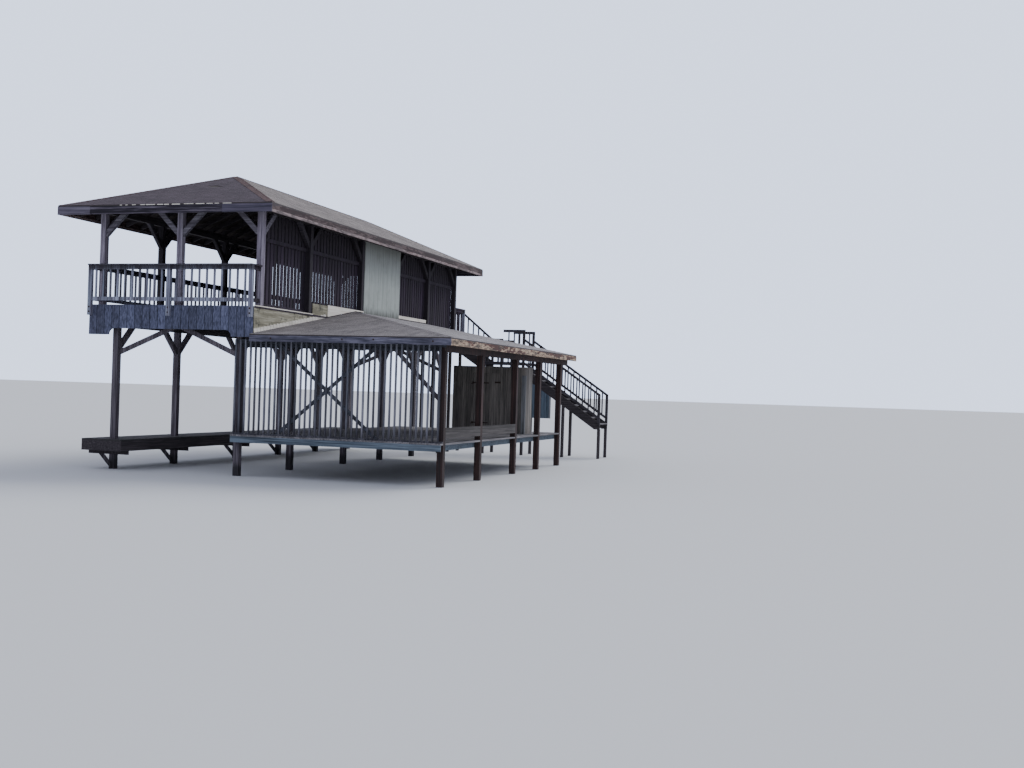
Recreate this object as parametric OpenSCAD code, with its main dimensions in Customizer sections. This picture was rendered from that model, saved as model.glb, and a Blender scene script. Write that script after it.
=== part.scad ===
// Two-storey timber boathouse: a covered deck on posts over a boat slip, with a lean-to
// roof over a patio deck on the bank side. +X points to the bank, +Y away from the near
// end and +Z up. Lengths are millimetres, and the feet stand at z = 0.

/* [Upper deck] */
// Width of the upper deck over the slip
deck_w = 4330; // [3600:10:5400]
// Length of the first bay and of the last three bays
bay = 2440; // [2000:10:3000]
// Length of the second bay
long_bay = 3050; // [2500:10:3700]
// Height of the upper deck above the feet
deck_z = 3850; // [3300:10:4700]
// Reach of the deck in front of the near posts
deck_front = 320; // [250:10:400]
// Reach of the open deck behind the far posts
deck_back = 980; // [800:10:1200]
// Thickness of the deck boards
board_t = 38; // [25:1:50]
// Depth of the deck joists
joist_h = 184; // [140:1:240]
// Greatest spacing of joists and rafters
frame_gap = 610; // [400:10:700]
// Depth of the arched skirt board at its two ends
skirt_h = 700; // [560:10:840]
// Depth of the skirt over its arch
arch_h = 550; // [460:10:600]
// Length of the skirt's deep part at each end
skirt_end = 550; // [400:10:700]

/* [Posts and beams] */
// Side of a post
post = 140; // [115:1:170]
// Depth of the girders under the upper deck
girder_h = 286; // [235:1:340]
// Depth of the beams on top of the upper posts
beam_h = 184; // [140:1:235]
// Width of a girder or a beam
beam_w = 89; // [76:1:100]
// Reach of a knee brace along each leg
knee = 580; // [480:10:690]
// Depth of a knee brace across its length
knee_d = 120; // [90:1:140]
// Drop of the long end braces from the girders to the posts
cross_drop = 660; // [500:10:700]
// Depth of a long end brace, measured upright
cross_d = 120; // [90:1:140]
// Depth of the tie board between the girders' ends
tie_h = 140; // [110:1:184]
// Inset of the lake posts behind the edge of the deck
lake_inset = 540; // [440:10:650]
// Inset of the slip posts behind the other edge of the deck
slip_inset = 360; // [300:10:430]

/* [Upper roof] */
// Clear height from the upper deck to the beams
porch_h = 2200; // [1900:10:2600]
// Height of the ridge above the eave
roof_rise = 1195; // [1000:5:1440]
// Overhang of the roof past the two long sides
side_over = 630; // [500:10:760]
// Overhang of the roof past the two ends
end_over = 770; // [640:10:920]
// Thickness of the roof covering, measured upright
roof_t = 45; // [30:1:60]
// Depth of the rafters, measured upright
rafter_h = 130; // [110:1:160]
// Depth of the fascia boards
fascia_h = 184; // [150:1:235]
// Spacing and width of the boards in the bank wall of the upper deck
wall_pitch = 170; // [150:1:210]
wall_board = 120; // [90:1:140]

/* [Lean-to] */
// Reach of the lean-to roof from the deck to its eave
lean_w = 4820; // [4000:10:5700]
// Height of the lean-to roof against the wall, above the deck
lean_top = 263; // [200:1:320]
// Fall of the lean-to roof from the wall to its eave
lean_fall = 880; // [740:5:1060]
// Overhang of the lean-to past its near posts
lean_over = 490; // [400:10:560]
// Reach of the near hip of the lean-to along the wall
lean_hip = 5540; // [4600:10:6000]
// Overhang of the lean-to past its far posts
lean_back = 770; // [600:10:900]
// Depth of its fascia boards
lean_fascia = 140; // [115:1:184]
// Reach of the brace in its near corner
corner_knee = 1100; // [900:10:1300]
// Inset of the bank posts behind the eave
bank_inset = 240; // [200:10:300]
// Bays between the bank posts, from the near end
bank_bays = [2440, 2740, 2130, 2130];

/* [Lower deck and walkway] */
// Height of the lower deck above the feet
patio_z = 950; // [800:10:1150]
// Depth of the lower deck's joists
patio_joist = 140; // [110:1:184]
// Reach of the lower deck in front of the near posts
patio_front = 160; // [130:10:200]
// Height of the kerb boards' gap above the lower deck, and their depth
kerb_gap = 100; // [80:10:120]
kerb_h = 230; // [190:10:276]
// Height of the walkway above the feet
walk_z = 710; // [600:10:850]
// Width of the walkway
walk_w = 1080; // [900:10:1300]
// Depth of the walkway's edge boards
walk_edge = 235; // [184:1:280]
// Reach of the walkway in front of the near mark
walk_front = 450; // [375:10:540]
// Depth of the arms under the walkway
arm_h = 89; // [70:1:120]
// Reach of the brace under each arm
arm_brace = 330; // [275:5:345]
// Spacing of the slats in the near screen
slat_pitch = 127; // [106:1:152]
// Side of a slat or a baluster
slat = 38; // [32:1:45]

/* [Storage closet] */
// Gap between the storage closet and the bank posts
store_inset = 300; // [250:10:360]
// Width of the storage closet
store_w = 2100; // [1900:10:2500]
// Depth of the storage closet
store_d = 700; // [580:10:900]
// Height of its walls above the lower deck
store_h = 1830; // [1600:10:1900]
// Thickness of its walls
store_t = 110; // [90:1:130]
// Distance from its slip side to the doorway
door_inset = 600; // [500:10:720]
// Width of its doorway
door_w = 800; // [670:10:960]
// Height of its doorway
door_h = 1650; // [1400:10:1720]
// Thickness of its door
door_t = 38; // [32:1:45]

/* [Railings] */
// Height of the railings above the upper deck
rail_h = 946; // [800:2:1100]
// Spacing of the balusters
baluster_gap = 195; // [160:1:235]
// Gap under the bottom rail
toe_gap = 90; // [75:1:110]
// Width of the cap board
cap_w = 140; // [115:1:170]
// How far the near rail posts hang below the deck
post_hang = 250; // [210:10:300]

/* [Far stair] */
// Clear width of the far stair and its platforms
stair_w = 1080; // [900:10:1300]
// Drop from the upper deck to the gangway
gang_drop = 950; // [800:10:1100]
// Distance from the upper deck's edge to the gangway, and its length
gang_inset = 670; // [560:10:800]
gang_len = 1450; // [1200:10:1700]
// Length of the tall guard at the head of the lower flight, and its height
guard_len = 760; // [640:10:900]
guard_h = 1250; // [1100:10:1400]
// Depth of a stringer, measured upright
string_h = 320; // [270:10:380]
// Number of rises from the gangway up to the deck
upper_rises = 5; // [4:1:6]
// Number of rises from the ground at the bank up to the gangway
lower_rises = 10; // [8:1:12]
// Going of one tread
going = 290; // [242:1:300]
// Height of the ground at the foot of the stair above the feet
bank_z = 950; // [800:10:1150]
// Width of the boarded panel under the lower flight, and the height of its foot
panel_w = 930; // [775:5:1100]
panel_z = 1250; // [1050:10:1500]

/* [Hidden] */

// Timber sizes: a board's thickness, a narrow board's width, and thinner boards
lumber_t = 38;
stud_w = 89;
face_t = 25;
slat_t = 22;
flash_t = 16;
// Clearances: around the door, of a seated piece, of a joint in a covering, over a flashed roof
door_gap = 8;
fit_gap = 0.3;
joint_gap = 3;
flash_gap = 5;
eps = 1;

// Marks along the long side, at the outer faces of the end posts and the middle of the others
house_l = 4 * bay + long_bay;
marks = [0, bay, bay + long_bay, 2 * bay + long_bay, 3 * bay + long_bay, house_l];
function post_mid(i) = i == 0 ? post / 2 : i == 5 ? house_l - post / 2 : marks[i];
// The near posts below the deck stand a post's width further forward
function low_mid(i) = i == 0 ? -post / 2 : post_mid(i);
deck_y0 = -deck_front;
deck_y1 = house_l + deck_back;

// Heights
board_z = deck_z - board_t;
joist_z = board_z - joist_h;
girder_z = joist_z - girder_h;
beam_z = deck_z + porch_h;
plate_z = beam_z + beam_h;

// Upper roof: half its width, the run of a hip along Y, and where its ridge starts and ends
half_span = deck_w / 2 + side_over;
hip_run = marks[1] + end_over;
hip_k = hip_run / half_span;
roof_y0 = -end_over;
roof_y1 = house_l + end_over;
ridge_y0 = roof_y0 + hip_run;
ridge_y1 = roof_y1 - hip_run;
roof_slope = roof_rise / half_span;
end_slope = roof_rise / hip_run;
// The rafters' undersides meet the outer top edges of the side beams
beam_side = (post - beam_w) / 2;
eave_z = plate_z + rafter_h + fit_gap + roof_t - roof_slope * (side_over + beam_side);
ridge_z = eave_z + roof_rise;
end_plate_z = eave_z - roof_t - fit_gap - rafter_h + (end_over + beam_side) * end_slope;

// Lean-to
wall_x = deck_w + flash_t;
lean_x1 = deck_w + lean_w;
lean_top_z = deck_z + lean_top;
lean_eave_z = lean_top_z - lean_fall;
lean_slope = lean_fall / lean_w;
hip_slope = lean_fall / lean_hip;
lean_k = lean_hip / lean_w;
lean_y0 = -lean_over;
lean_hip_y = lean_y0 + lean_hip;
function sum_to(v, n) = n == 0 ? 0 : v[n - 1] + sum_to(v, n - 1);
function bank_mid(i) = -post / 2 + sum_to(bank_bays, i);
lean_y1 = bank_mid(4) + lean_back;
bank_x = lean_x1 - bank_inset - post;
// Height of the covering's top, and of the rafters' top, at a place in the plan
function lean_cover(x, y) = min(lean_top_z - (x - deck_w) * lean_slope,
    lean_eave_z + (y - lean_y0) * hip_slope);
function lean_timber(x, y) = lean_cover(x, y) - roof_t - fit_gap;
lean_plate_z = lean_timber(bank_x + post - beam_side, lean_hip_y) - rafter_h;
lean_beam_z = lean_plate_z - beam_h;
header_y = bank_mid(0) - beam_w / 2;
header_z1 = lean_timber(deck_w, header_y) - rafter_h;
header_x1 = bank_x + beam_side;

// Plan of the slip and the lower deck
lake_x = lake_inset;
slip_x = deck_w - slip_inset - post;
patio_x0 = slip_x;
patio_x1 = bank_x + post;
patio_y0 = -post - patio_front;
patio_y1 = bank_mid(4) + post / 2;
walk_edge_z = walk_z - board_t - walk_edge;

// Near screen: its slats stand on a foot board in front of the posts, under the lean-to's rafters
screen_y1 = -post - face_t;
screen_y0 = screen_y1 - slat;
screen_top = lean_timber(deck_w, screen_y0) - rafter_h - flash_gap;
screen_brace = [1100, 3500];

// Storage room, its doorway, and its two pin hinges at the undersides of the door's eyes
store_x1 = bank_x - store_inset;
store_x0 = store_x1 - store_w;
store_y0 = bank_mid(3);
store_y1 = store_y0 + store_d;
store_z1 = patio_z + store_h;
door_x0 = store_x0 + door_inset;
door_x1 = door_x0 + door_w;
hinge_z = [patio_z + 250, patio_z + door_h - 300];
pin_r = 8;
pin_out = 20;
eye_h = 40;
plate_t = 12;
strap = [450, 30];
hasp = [170, 40, 10];
hasp_z = patio_z + 1370;

// Far stair
stair_y0 = deck_y1;
stair_y1 = stair_y0 + stair_w;
gang_z = deck_z - gang_drop;
gang_x0 = deck_w + gang_inset;
gang_x1 = gang_x0 + gang_len;
upper_run = (upper_rises - 1) * going;
top_x1 = gang_x0 - upper_run;
top_x0 = top_x1 - stair_w;
lower_rise = (gang_z - bank_z) / lower_rises;
upper_rise = gang_drop / upper_rises;
lower_slope = lower_rise / going;
stair_x1 = gang_x1 + (lower_rises - 1) * going;
function string_under(x) = gang_z - string_h - fit_gap - (x - gang_x1) * lower_slope;
platform_h = board_t + patio_joist;

// Railings: how far the cap stands out past a rail post, and a baluster's place behind its face
cap_out = (cap_w - stud_w) / 2;
rail_in = (stud_w - slat) / 2;
side_rail = (post - stud_w) / 2;

// The whole object's box, which puts the origin under its middle
box_x = [-side_over, max(lean_x1, stair_x1)];
box_y = [roof_y0, stair_y1 + lumber_t];

module placed() {
    translate([-(box_x[0] + box_x[1]) / 2, -(box_y[0] + box_y[1]) / 2, 0]) children();
}

// A box from its low corner to its high corner
module block(low, high) {
    translate(low) cube(high - low);
}

// A plate cut from an outline in X and Z, from y0 to y1
module xz_plate(y0, y1, outline) {
    translate([0, y1, 0]) rotate([90, 0, 0]) linear_extrude(y1 - y0) polygon(outline);
}

// A plate cut from an outline in Y and Z, from x0 to x1
module yz_plate(x0, x1, outline) {
    translate([x0, 0, 0]) rotate([90, 0, 90]) linear_extrude(x1 - x0) polygon(outline);
}

// The same shape at both ends of the upper house, or on both of its long sides
module both_ends() {
    children();
    translate([0, house_l, 0]) mirror([0, 1, 0]) children();
}

module both_sides() {
    children();
    translate([deck_w, 0, 0]) mirror([1, 0, 0]) children();
}

// Outline of a 45 degree brace in the corner between a post at u0 and a beam at z1
function knee_outline(u0, z1, dir, reach, depth) =
    let (d = depth * sqrt(2))
    [[u0, z1 - reach], [u0, z1 - reach + d], [u0 + dir * (reach - d), z1], [u0 + dir * reach, z1]];

module knee_x(x, z, dir, y, w, reach = knee, depth = knee_d) {
    xz_plate(y - w / 2, y + w / 2, knee_outline(x, z, dir, reach, depth));
}

module knee_y(y, z, dir, x, w) {
    yz_plate(x - w / 2, x + w / 2, knee_outline(y, z, dir, knee, knee_d));
}

// Holes for the posts that pass up through a deck
module post_holes(x, mids) {
    for (y = mids) block([x, y - post / 2, 0], [x + post, y + post / 2, deck_z]);
}

module lake_posts() {
    color("dimgray") placed()
        for (i = [0:5])
            block([lake_x, low_mid(i) - post / 2, 0], [lake_x + post, low_mid(i) + post / 2, girder_z]);
}

module slip_posts() {
    color("slategray") placed()
        for (i = [0:5])
            block([slip_x, low_mid(i) - post / 2, 0], [slip_x + post, low_mid(i) + post / 2, girder_z]);
}

module bank_posts() {
    color("saddlebrown") placed()
        for (i = [0:4])
            block([bank_x, bank_mid(i) - post / 2, 0], [bank_x + post, bank_mid(i) + post / 2, lean_beam_z]);
}

// Posts under the stair's platforms, the middle of its lower flight and its foot
module stair_posts() {
    mid_x = (gang_x1 + stair_x1) / 2;
    ys = [stair_y0, stair_y1 - stud_w];
    color("dimgray") placed() {
        for (y = ys) {
            for (x = [top_x0, top_x1 - stud_w])
                block([x, y, 0], [x + stud_w, y + stud_w, deck_z - platform_h]);
            for (x = [gang_x0, gang_x1 - stud_w])
                block([x, y, 0], [x + stud_w, y + stud_w, gang_z - platform_h]);
            xz_plate(y, y + stud_w, [[mid_x, 0], [mid_x + stud_w, 0],
                [mid_x + stud_w, string_under(mid_x + stud_w)], [mid_x, string_under(mid_x)]]);
            block([stair_x1 - stud_w, y, 0], [stair_x1, y + stud_w, bank_z]);
        }
    }
}

module walkway_deck() {
    color("dimgray") placed()
        difference() {
            block([0, -walk_front, walk_z - board_t], [walk_w, house_l, walk_z]);
            post_holes(lake_x, [for (i = [0:5]) low_mid(i)]);
        }
}

// Edge boards all round the walkway, on an arm bolted to the near face of each lake post
module walkway_beams() {
    z1 = walk_z - board_t;
    color("dimgray") placed() {
        for (x = [0, walk_w - lumber_t])
            block([x, -walk_front, walk_edge_z], [x + lumber_t, house_l, z1]);
        for (y = [-walk_front, house_l - lumber_t])
            block([0, y, walk_edge_z], [y < 0 ? walk_w : lake_x, y + lumber_t, z1]);
        for (i = [0:5])
            block([0, low_mid(i) - post / 2 - lumber_t, walk_edge_z - arm_h],
                [walk_w, low_mid(i) - post / 2, walk_edge_z]);
    }
}

module lower_deck() {
    color("gray") placed()
        difference() {
            block([patio_x0, patio_y0, patio_z - board_t], [patio_x1, patio_y1, patio_z]);
            post_holes(slip_x, [for (i = [0:4]) low_mid(i)]);
            post_holes(bank_x, [for (i = [0:4]) bank_mid(i)]);
        }
}

// Rim and joists of the lower deck, with the kerb boards between the first three bank posts
module lower_deck_frame() {
    z1 = patio_z - board_t;
    z0 = z1 - patio_joist;
    x0 = slip_x + post;
    y1 = patio_y1 - lumber_t;
    n = ceil((y1 - patio_y0) / frame_gap);
    color("gray") placed() {
        block([patio_x0, patio_y0, z0], [patio_x1, patio_y0 + lumber_t, z1]);
        block([patio_x0, y1, z0], [bank_x, patio_y1, z1]);
        for (x = [x0, bank_x - lumber_t])
            block([x, patio_y0 + lumber_t, z0], [x + lumber_t, y1, z1]);
        for (i = [1:n - 1])
            let (y = patio_y0 + i * (y1 - patio_y0) / n)
            block([x0 + lumber_t, y, z0], [bank_x - lumber_t, y + lumber_t, z1]);
        for (i = [0:1])
            block([patio_x1 - lumber_t, bank_mid(i) + post / 2, patio_z + kerb_gap],
                [patio_x1, bank_mid(i + 1) - post / 2, patio_z + kerb_gap + kerb_h]);
    }
}

// Near screen: upright slats on a foot board, with a top rail and crossed braces at their back,
// and the header behind them that carries the lean-to's near rafters. The header's end is cut to
// the long slope's rafters where they lie lower
module slat_screen() {
    slope_z = lean_top_z - roof_t - 2 * fit_gap - rafter_h;
    meet_x = deck_w + (slope_z - header_z1) / lean_slope;
    n = floor((patio_x1 - patio_x0 - slat) / slat_pitch);
    z0 = patio_z + lumber_t;
    z1 = screen_top - stud_w;
    across = sqrt(2) * stud_w / 2;
    color("slategray") placed() {
        block([patio_x0, screen_y0, patio_z], [patio_x1, -post, z0]);
        for (i = [0:n])
            let (x = patio_x0 + i * slat_pitch)
            block([x, screen_y0, z0], [x + slat, screen_y1, screen_top]);
        block([patio_x0, screen_y1, z1], [patio_x1, -post, screen_top]);
        for (run = [screen_brace, [screen_brace[1], screen_brace[0]]])
            xz_plate(screen_y1, -post, [[slip_x + run[0] - across, z0], [slip_x + run[0] + across, z0],
                [slip_x + run[1] + across, z1], [slip_x + run[1] - across, z1]]);
        difference() {
            block([slip_x + post, header_y, lean_beam_z], [header_x1, header_y + beam_w, header_z1]);
            if (meet_x < header_x1) xz_plate(header_y - eps, header_y + beam_w + eps,
                [[meet_x, header_z1], [header_x1 + eps, slope_z - (header_x1 + eps - deck_w) * lean_slope],
                [header_x1 + eps, header_z1 + eps], [meet_x, header_z1 + eps]]);
        }
    }
}

module storage_front_wall() {
    color("darkgray") placed() {
        block([store_x0, store_y0, patio_z], [door_x0, store_y0 + store_t, store_z1]);
        for (z = hinge_z) {
            block([door_x0 - 5 * plate_t, store_y0 - pin_out - pin_r, z - plate_t],
                [door_x0 + pin_r, store_y0, z]);
            translate([door_x0, store_y0 - pin_out, z - plate_t])
                cylinder(r = pin_r, h = eye_h + 2 * plate_t, $fn = 48);
        }
        block([door_x1, store_y0, patio_z], [store_x1, store_y0 + store_t, store_z1]);
    }
}

module storage_header() {
    color("darkgray") placed()
        block([door_x0, store_y0, patio_z + door_h], [door_x1, store_y0 + store_t, store_z1]);
}

module storage_side_walls() {
    color("darkgray") placed()
        for (x = [store_x0, store_x1 - store_t])
            block([x, store_y0 + store_t, patio_z], [x + store_t, store_y1 - store_t, store_z1]);
}

module storage_back_wall() {
    color("darkgray") placed()
        block([store_x0, store_y1 - store_t, patio_z], [store_x1, store_y1, store_z1]);
}

// The door leaf with its strap hinges, whose eyes sit on the wall's pins, and its hasp
module storage_door() {
    x1 = door_x1 - door_gap;
    color("gray") placed() {
        block([door_x0 + door_gap, store_y0, patio_z + door_gap],
            [x1, store_y0 + door_t, patio_z + door_h - door_gap]);
        for (z = hinge_z) difference() {
            union() {
                block([door_x0 + pin_r + 2 * eps, store_y0 - door_gap, z + (eye_h - strap[1]) / 2],
                    [door_x0 + strap[0], store_y0, z + (eye_h + strap[1]) / 2]);
                translate([door_x0, store_y0 - pin_out, z + fit_gap])
                    cylinder(r = 2.25 * pin_r, h = eye_h, $fn = 48);
            }
            translate([door_x0, store_y0 - pin_out, z - eps])
                cylinder(r = pin_r + fit_gap, h = eye_h + 3 * eps, $fn = 48);
        }
        block([door_x1 - hasp[0], store_y0 - hasp[2], hasp_z], [x1, store_y0, hasp_z + hasp[1]]);
    }
}

module girders() {
    color("dimgray") placed()
        for (x = [lake_x + beam_side, slip_x + beam_side])
            block([x, deck_y0 + face_t, girder_z], [x + beam_w, deck_y1 - lumber_t, joist_z]);
}

// One half of the flat braces that meet under a tie board at mid-span, at the near end
module long_brace(x_post, dir) {
    mid = (lake_x + post + slip_x) / 2 - dir * fit_gap;
    z0 = girder_z - cross_drop;
    run = mid - x_post;
    xz_plate(low_mid(0) - lumber_t / 2, low_mid(0) + lumber_t / 2, [[x_post, z0], [x_post, z0 + cross_d],
        [x_post + run * (1 - cross_d / cross_drop), girder_z - fit_gap], [mid, girder_z - fit_gap]]);
}

// Knee braces of the slip, the long end braces with their tie board, the braces under the
// walkway's arms and the brace in the near corner of the lean-to
module lower_braces() {
    tie_y = low_mid(0) - lumber_t / 2;
    arm_z = walk_edge_z - arm_h;
    foot_x = lake_x + post / 2;
    color("dimgray") placed() {
        for (x = [lake_x + post / 2, slip_x + post / 2]) for (i = [0:5]) {
            if (i > 0) knee_y(low_mid(i) - post / 2, girder_z, -1, x, beam_w);
            if (i < 5) knee_y(low_mid(i) + post / 2, girder_z, 1, x, beam_w);
        }
        for (far = [0, 1]) translate([0, far * (low_mid(5) - low_mid(0)), 0]) {
            long_brace(lake_x + post, 1);
            long_brace(slip_x, -1);
            block([lake_x + beam_side + beam_w, tie_y, girder_z],
                [slip_x + beam_side, tie_y + lumber_t, girder_z + tie_h]);
        }
        for (i = [0:5])
            xz_plate(low_mid(i) - post / 2 - lumber_t, low_mid(i) - post / 2,
                knee_outline(foot_x, arm_z, -1, arm_brace, stud_w));
        knee_x(bank_x, lean_beam_z, -1, bank_mid(0), lumber_t, corner_knee, stud_w);
    }
}

module upper_deck_frame() {
    run = deck_y1 - deck_y0 - face_t - lumber_t;
    n = ceil(run / frame_gap);
    color("dimgray") placed() {
        for (x = [0, deck_w - lumber_t])
            block([x, deck_y0 + face_t, joist_z], [x + lumber_t, deck_y1, board_z]);
        for (i = [0:n]) translate([lumber_t, deck_y0 + face_t + i * run / n, joist_z])
            cube([deck_w - 2 * lumber_t, lumber_t, joist_h]);
    }
}

module upper_deck() {
    color("gray") placed()
        block([0, deck_y0 + face_t, board_z], [deck_w, deck_y1, deck_z]);
}

// Arched skirt across the near end, with a round corner at each end of its arch
module front_skirt() {
    r = skirt_h - arch_h;
    z0 = deck_z - skirt_h;
    color("slategray") placed()
        difference() {
            block([0, deck_y0, z0], [deck_w, deck_y0 + face_t, deck_z]);
            translate([0, deck_y0 + face_t + eps, 0]) rotate([90, 0, 0]) linear_extrude(face_t + 2 * eps)
                union() {
                    translate([skirt_end + r, z0 - eps]) square([deck_w - 2 * (skirt_end + r), r + eps]);
                    for (x = [skirt_end + r, deck_w - skirt_end - r])
                        translate([x, z0]) circle(r, $fn = 48);
                }
        }
}

// Plywood over the lean-to's near hip, up to the level of the upper deck
module bank_rim_panel() {
    y0 = deck_y0 + face_t;
    color("khaki") placed()
        yz_plate(deck_w, wall_x, [[y0, deck_z], [y0, lean_cover(deck_w, y0) + 2 * eps],
            [lean_y0 + (deck_z - lean_eave_z) / hip_slope, deck_z]]);
}

module upper_posts() {
    color("rosybrown") placed() {
        for (x = [0, deck_w - post]) for (i = [0:5])
            block([x, post_mid(i) - post / 2, deck_z], [x + post, post_mid(i) + post / 2, beam_z]);
        for (i = [0, 5])
            block([(deck_w - post) / 2, post_mid(i) - post / 2, deck_z],
                [(deck_w + post) / 2, post_mid(i) + post / 2, beam_z]);
    }
}

module side_beams() {
    color("dimgray") placed()
        both_sides() block([beam_side, 0, beam_z], [beam_side + beam_w, house_l, plate_z]);
}

// Beams on the end posts, up to the end rafters. Near its ends a beam is cut to the side
// rafters where they lie lower
module end_beams() {
    x0 = beam_side + beam_w;
    side_z = eave_z - roof_t - 2 * fit_gap - rafter_h + side_over * roof_slope;
    meet_x = (end_plate_z - side_z) / roof_slope;
    color("dimgray") placed() both_ends() difference() {
        block([x0, beam_side, beam_z], [deck_w - x0, beam_side + beam_w, end_plate_z]);
        if (meet_x > x0) both_sides() xz_plate(beam_side - eps, beam_side + beam_w + eps,
            [[x0 - eps, side_z + (x0 - eps) * roof_slope], [meet_x, end_plate_z],
            [meet_x, end_plate_z + eps], [x0 - eps, end_plate_z + eps]]);
    }
}

module upper_braces() {
    color("gray") placed() {
        both_sides() for (i = [0:5]) {
            if (i > 0) knee_y(post_mid(i) - post / 2, beam_z, -1, post / 2, beam_w);
            if (i < 5) knee_y(post_mid(i) + post / 2, beam_z, 1, post / 2, beam_w);
        }
        both_ends() both_sides() {
            knee_x(post, beam_z, 1, post / 2, beam_w);
            knee_x((deck_w - post) / 2, beam_z, -1, post / 2, beam_w);
        }
    }
}

// The space under a hipped roof surface that lies `down` below the top of the covering
module hip_space(down, base) {
    z0 = eave_z - down;
    z1 = ridge_z - down;
    intersection() {
        xz_plate(roof_y0, roof_y1, [[-side_over, base], [deck_w + side_over, base],
            [deck_w + side_over, z0], [deck_w / 2, z1], [-side_over, z0]]);
        yz_plate(-side_over, deck_w + side_over, [[roof_y0, base], [roof_y1, base], [roof_y1, z0],
            [ridge_y1, z1], [ridge_y0, z1], [roof_y0, z0]]);
    }
}

// The layer of the upper roof that its rafters and hips fill
module rafter_layer() {
    low = eave_z - roof_t - 2 * rafter_h;
    difference() {
        hip_space(roof_t + fit_gap, low);
        hip_space(roof_t + fit_gap + rafter_h, low - eps);
    }
}

// An upright prism through a layer of the upper roof, over a flat outline
module through_roof() {
    translate([0, 0, eave_z - 4 * rafter_h]) linear_extrude(roof_rise + 5 * rafter_h) children();
}

// Plan of the strip along the hip in the near lake corner
module hip_strip(half) {
    across = [-hip_k, 1] * half / norm([hip_k, 1]);
    a = [-side_over, roof_y0];
    b = [deck_w / 2, ridge_y0];
    polygon([a - across, b - across, b + across, a + across]);
}

// Four planes of sheathing and shingles, with open joints along the ridge and the hips
module roof() {
    color("dimgray") placed()
        difference() {
            hip_space(0, eave_z - roof_t);
            hip_space(roof_t, eave_z - 2 * roof_t);
            both_ends() both_sides() through_roof() hip_strip(joint_gap / 2);
            through_roof() translate([(deck_w - joint_gap) / 2, ridge_y0])
                square([joint_gap, ridge_y1 - ridge_y0]);
        }
}

// Ridge board and hip rafters of the upper roof, and the hip rafter of the lean-to
module ridge_and_hips() {
    x0 = -side_over + face_t;
    y0 = roof_y0 + face_t;
    z1 = ridge_z - roof_t - slat_t;
    color("dimgray") placed() {
        block([(deck_w - lumber_t) / 2, ridge_y0, z1 - rafter_h], [(deck_w + lumber_t) / 2, ridge_y1, z1]);
        intersection() {
            rafter_layer();
            both_ends() both_sides() through_roof() intersection() {
                hip_strip(lumber_t / 2);
                translate([x0, y0]) square([deck_w / 2 - fit_gap - x0, ridge_y0 - fit_gap - y0]);
            }
        }
        intersection() {
            lean_layer();
            through_lean() intersection() {
                lean_strip(lumber_t / 2);
                translate([deck_w + lumber_t, lean_y0 + face_t])
                    square([lean_w - lumber_t - face_t, lean_hip]);
            }
        }
    }
}

// Common rafters between the hips, and jack rafters from each eave up to the hips
module rafters() {
    x0 = -side_over + face_t;
    x1 = (deck_w - lumber_t) / 2;
    y0 = roof_y0 + face_t;
    run = ridge_y1 - ridge_y0 - lumber_t;
    n = ceil(run / frame_gap);
    // The jack rafters end this far from the middle of the hip, measured along Y
    off = norm([hip_k, 1]) * (lumber_t / 2 + fit_gap);
    color("dimgray") placed() intersection() {
        rafter_layer();
        union() {
            both_sides() for (i = [0:n])
                through_roof() translate([x0, ridge_y0 + i * run / n]) square([x1 - x0, lumber_t]);
            both_ends() {
                both_sides() through_roof() intersection() {
                    polygon([[x0, roof_y0 + face_t * hip_k + off],
                        [(hip_run - off) / hip_k - side_over, ridge_y0], [x0, ridge_y0]]);
                    for (y = [ridge_y0 - frame_gap:-frame_gap:y0])
                        translate([x0, y]) square([x1 - x0, lumber_t]);
                }
                through_roof() intersection() {
                    polygon([[-side_over + (face_t + off) / hip_k, y0],
                        [deck_w + side_over - (face_t + off) / hip_k, y0], [deck_w / 2, ridge_y0 - off]]);
                    for (s = [-1, 1]) for (x = [0:frame_gap:half_span])
                        translate([deck_w / 2 + s * x - lumber_t / 2, y0]) square([lumber_t, hip_run]);
                }
            }
        }
    }
}

module end_fascias() {
    color("slategray") placed()
        both_ends() block([-side_over, roof_y0, eave_z - roof_t - fascia_h],
            [deck_w + side_over, roof_y0 + face_t, eave_z - roof_t]);
}

module side_fascias() {
    color("rosybrown") placed()
        both_sides() block([-side_over, roof_y0 + face_t, eave_z - roof_t - fascia_h],
            [-side_over + face_t, roof_y1 - face_t, eave_z - roof_t]);
}

// One bay of railing along X from x0 to x1, its posts' outer face at y; its cap may be longer
module rail_x(x0, x1, y, cap = [0, 0]) {
    z1 = deck_z + rail_h;
    n = max(1, round((x1 - x0) / baluster_gap) - 1);
    ya = y + rail_in;
    yb = ya + slat;
    block([x0 - cap[0], y - cap_out, z1 - lumber_t], [x1 + cap[1], y + stud_w + cap_out, z1]);
    block([x0, ya, z1 - lumber_t - stud_w], [x1, yb, z1 - lumber_t]);
    block([x0, ya, deck_z + toe_gap], [x1, yb, deck_z + toe_gap + stud_w]);
    for (i = [1:n]) translate([x0 + i * (x1 - x0) / (n + 1) - slat / 2, ya, deck_z + toe_gap + stud_w])
        cube([slat, slat, rail_h - lumber_t - toe_gap - 2 * stud_w]);
}

module rail_y(y0, y1, x, cap = [0, 0]) {
    translate([x, 0, 0]) mirror([1, 0, 0]) rotate([0, 0, 90]) rail_x(y0, y1, 0, cap);
}

// Rail posts at [x, y] from z0 up to the cap
module rail_posts(places, z0) {
    for (p = places)
        block([p[0], p[1], z0], [p[0] + stud_w, p[1] + stud_w, deck_z + rail_h - lumber_t]);
}

// Near railing on posts bolted to the skirt
module near_railing() {
    y = deck_y0 - stud_w;
    color("dimgray") placed() {
        rail_posts([for (x = [0, (deck_w - stud_w) / 2, deck_w - stud_w]) [x, y]], deck_z - post_hang);
        rail_x(0, deck_w, y);
    }
}

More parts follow.
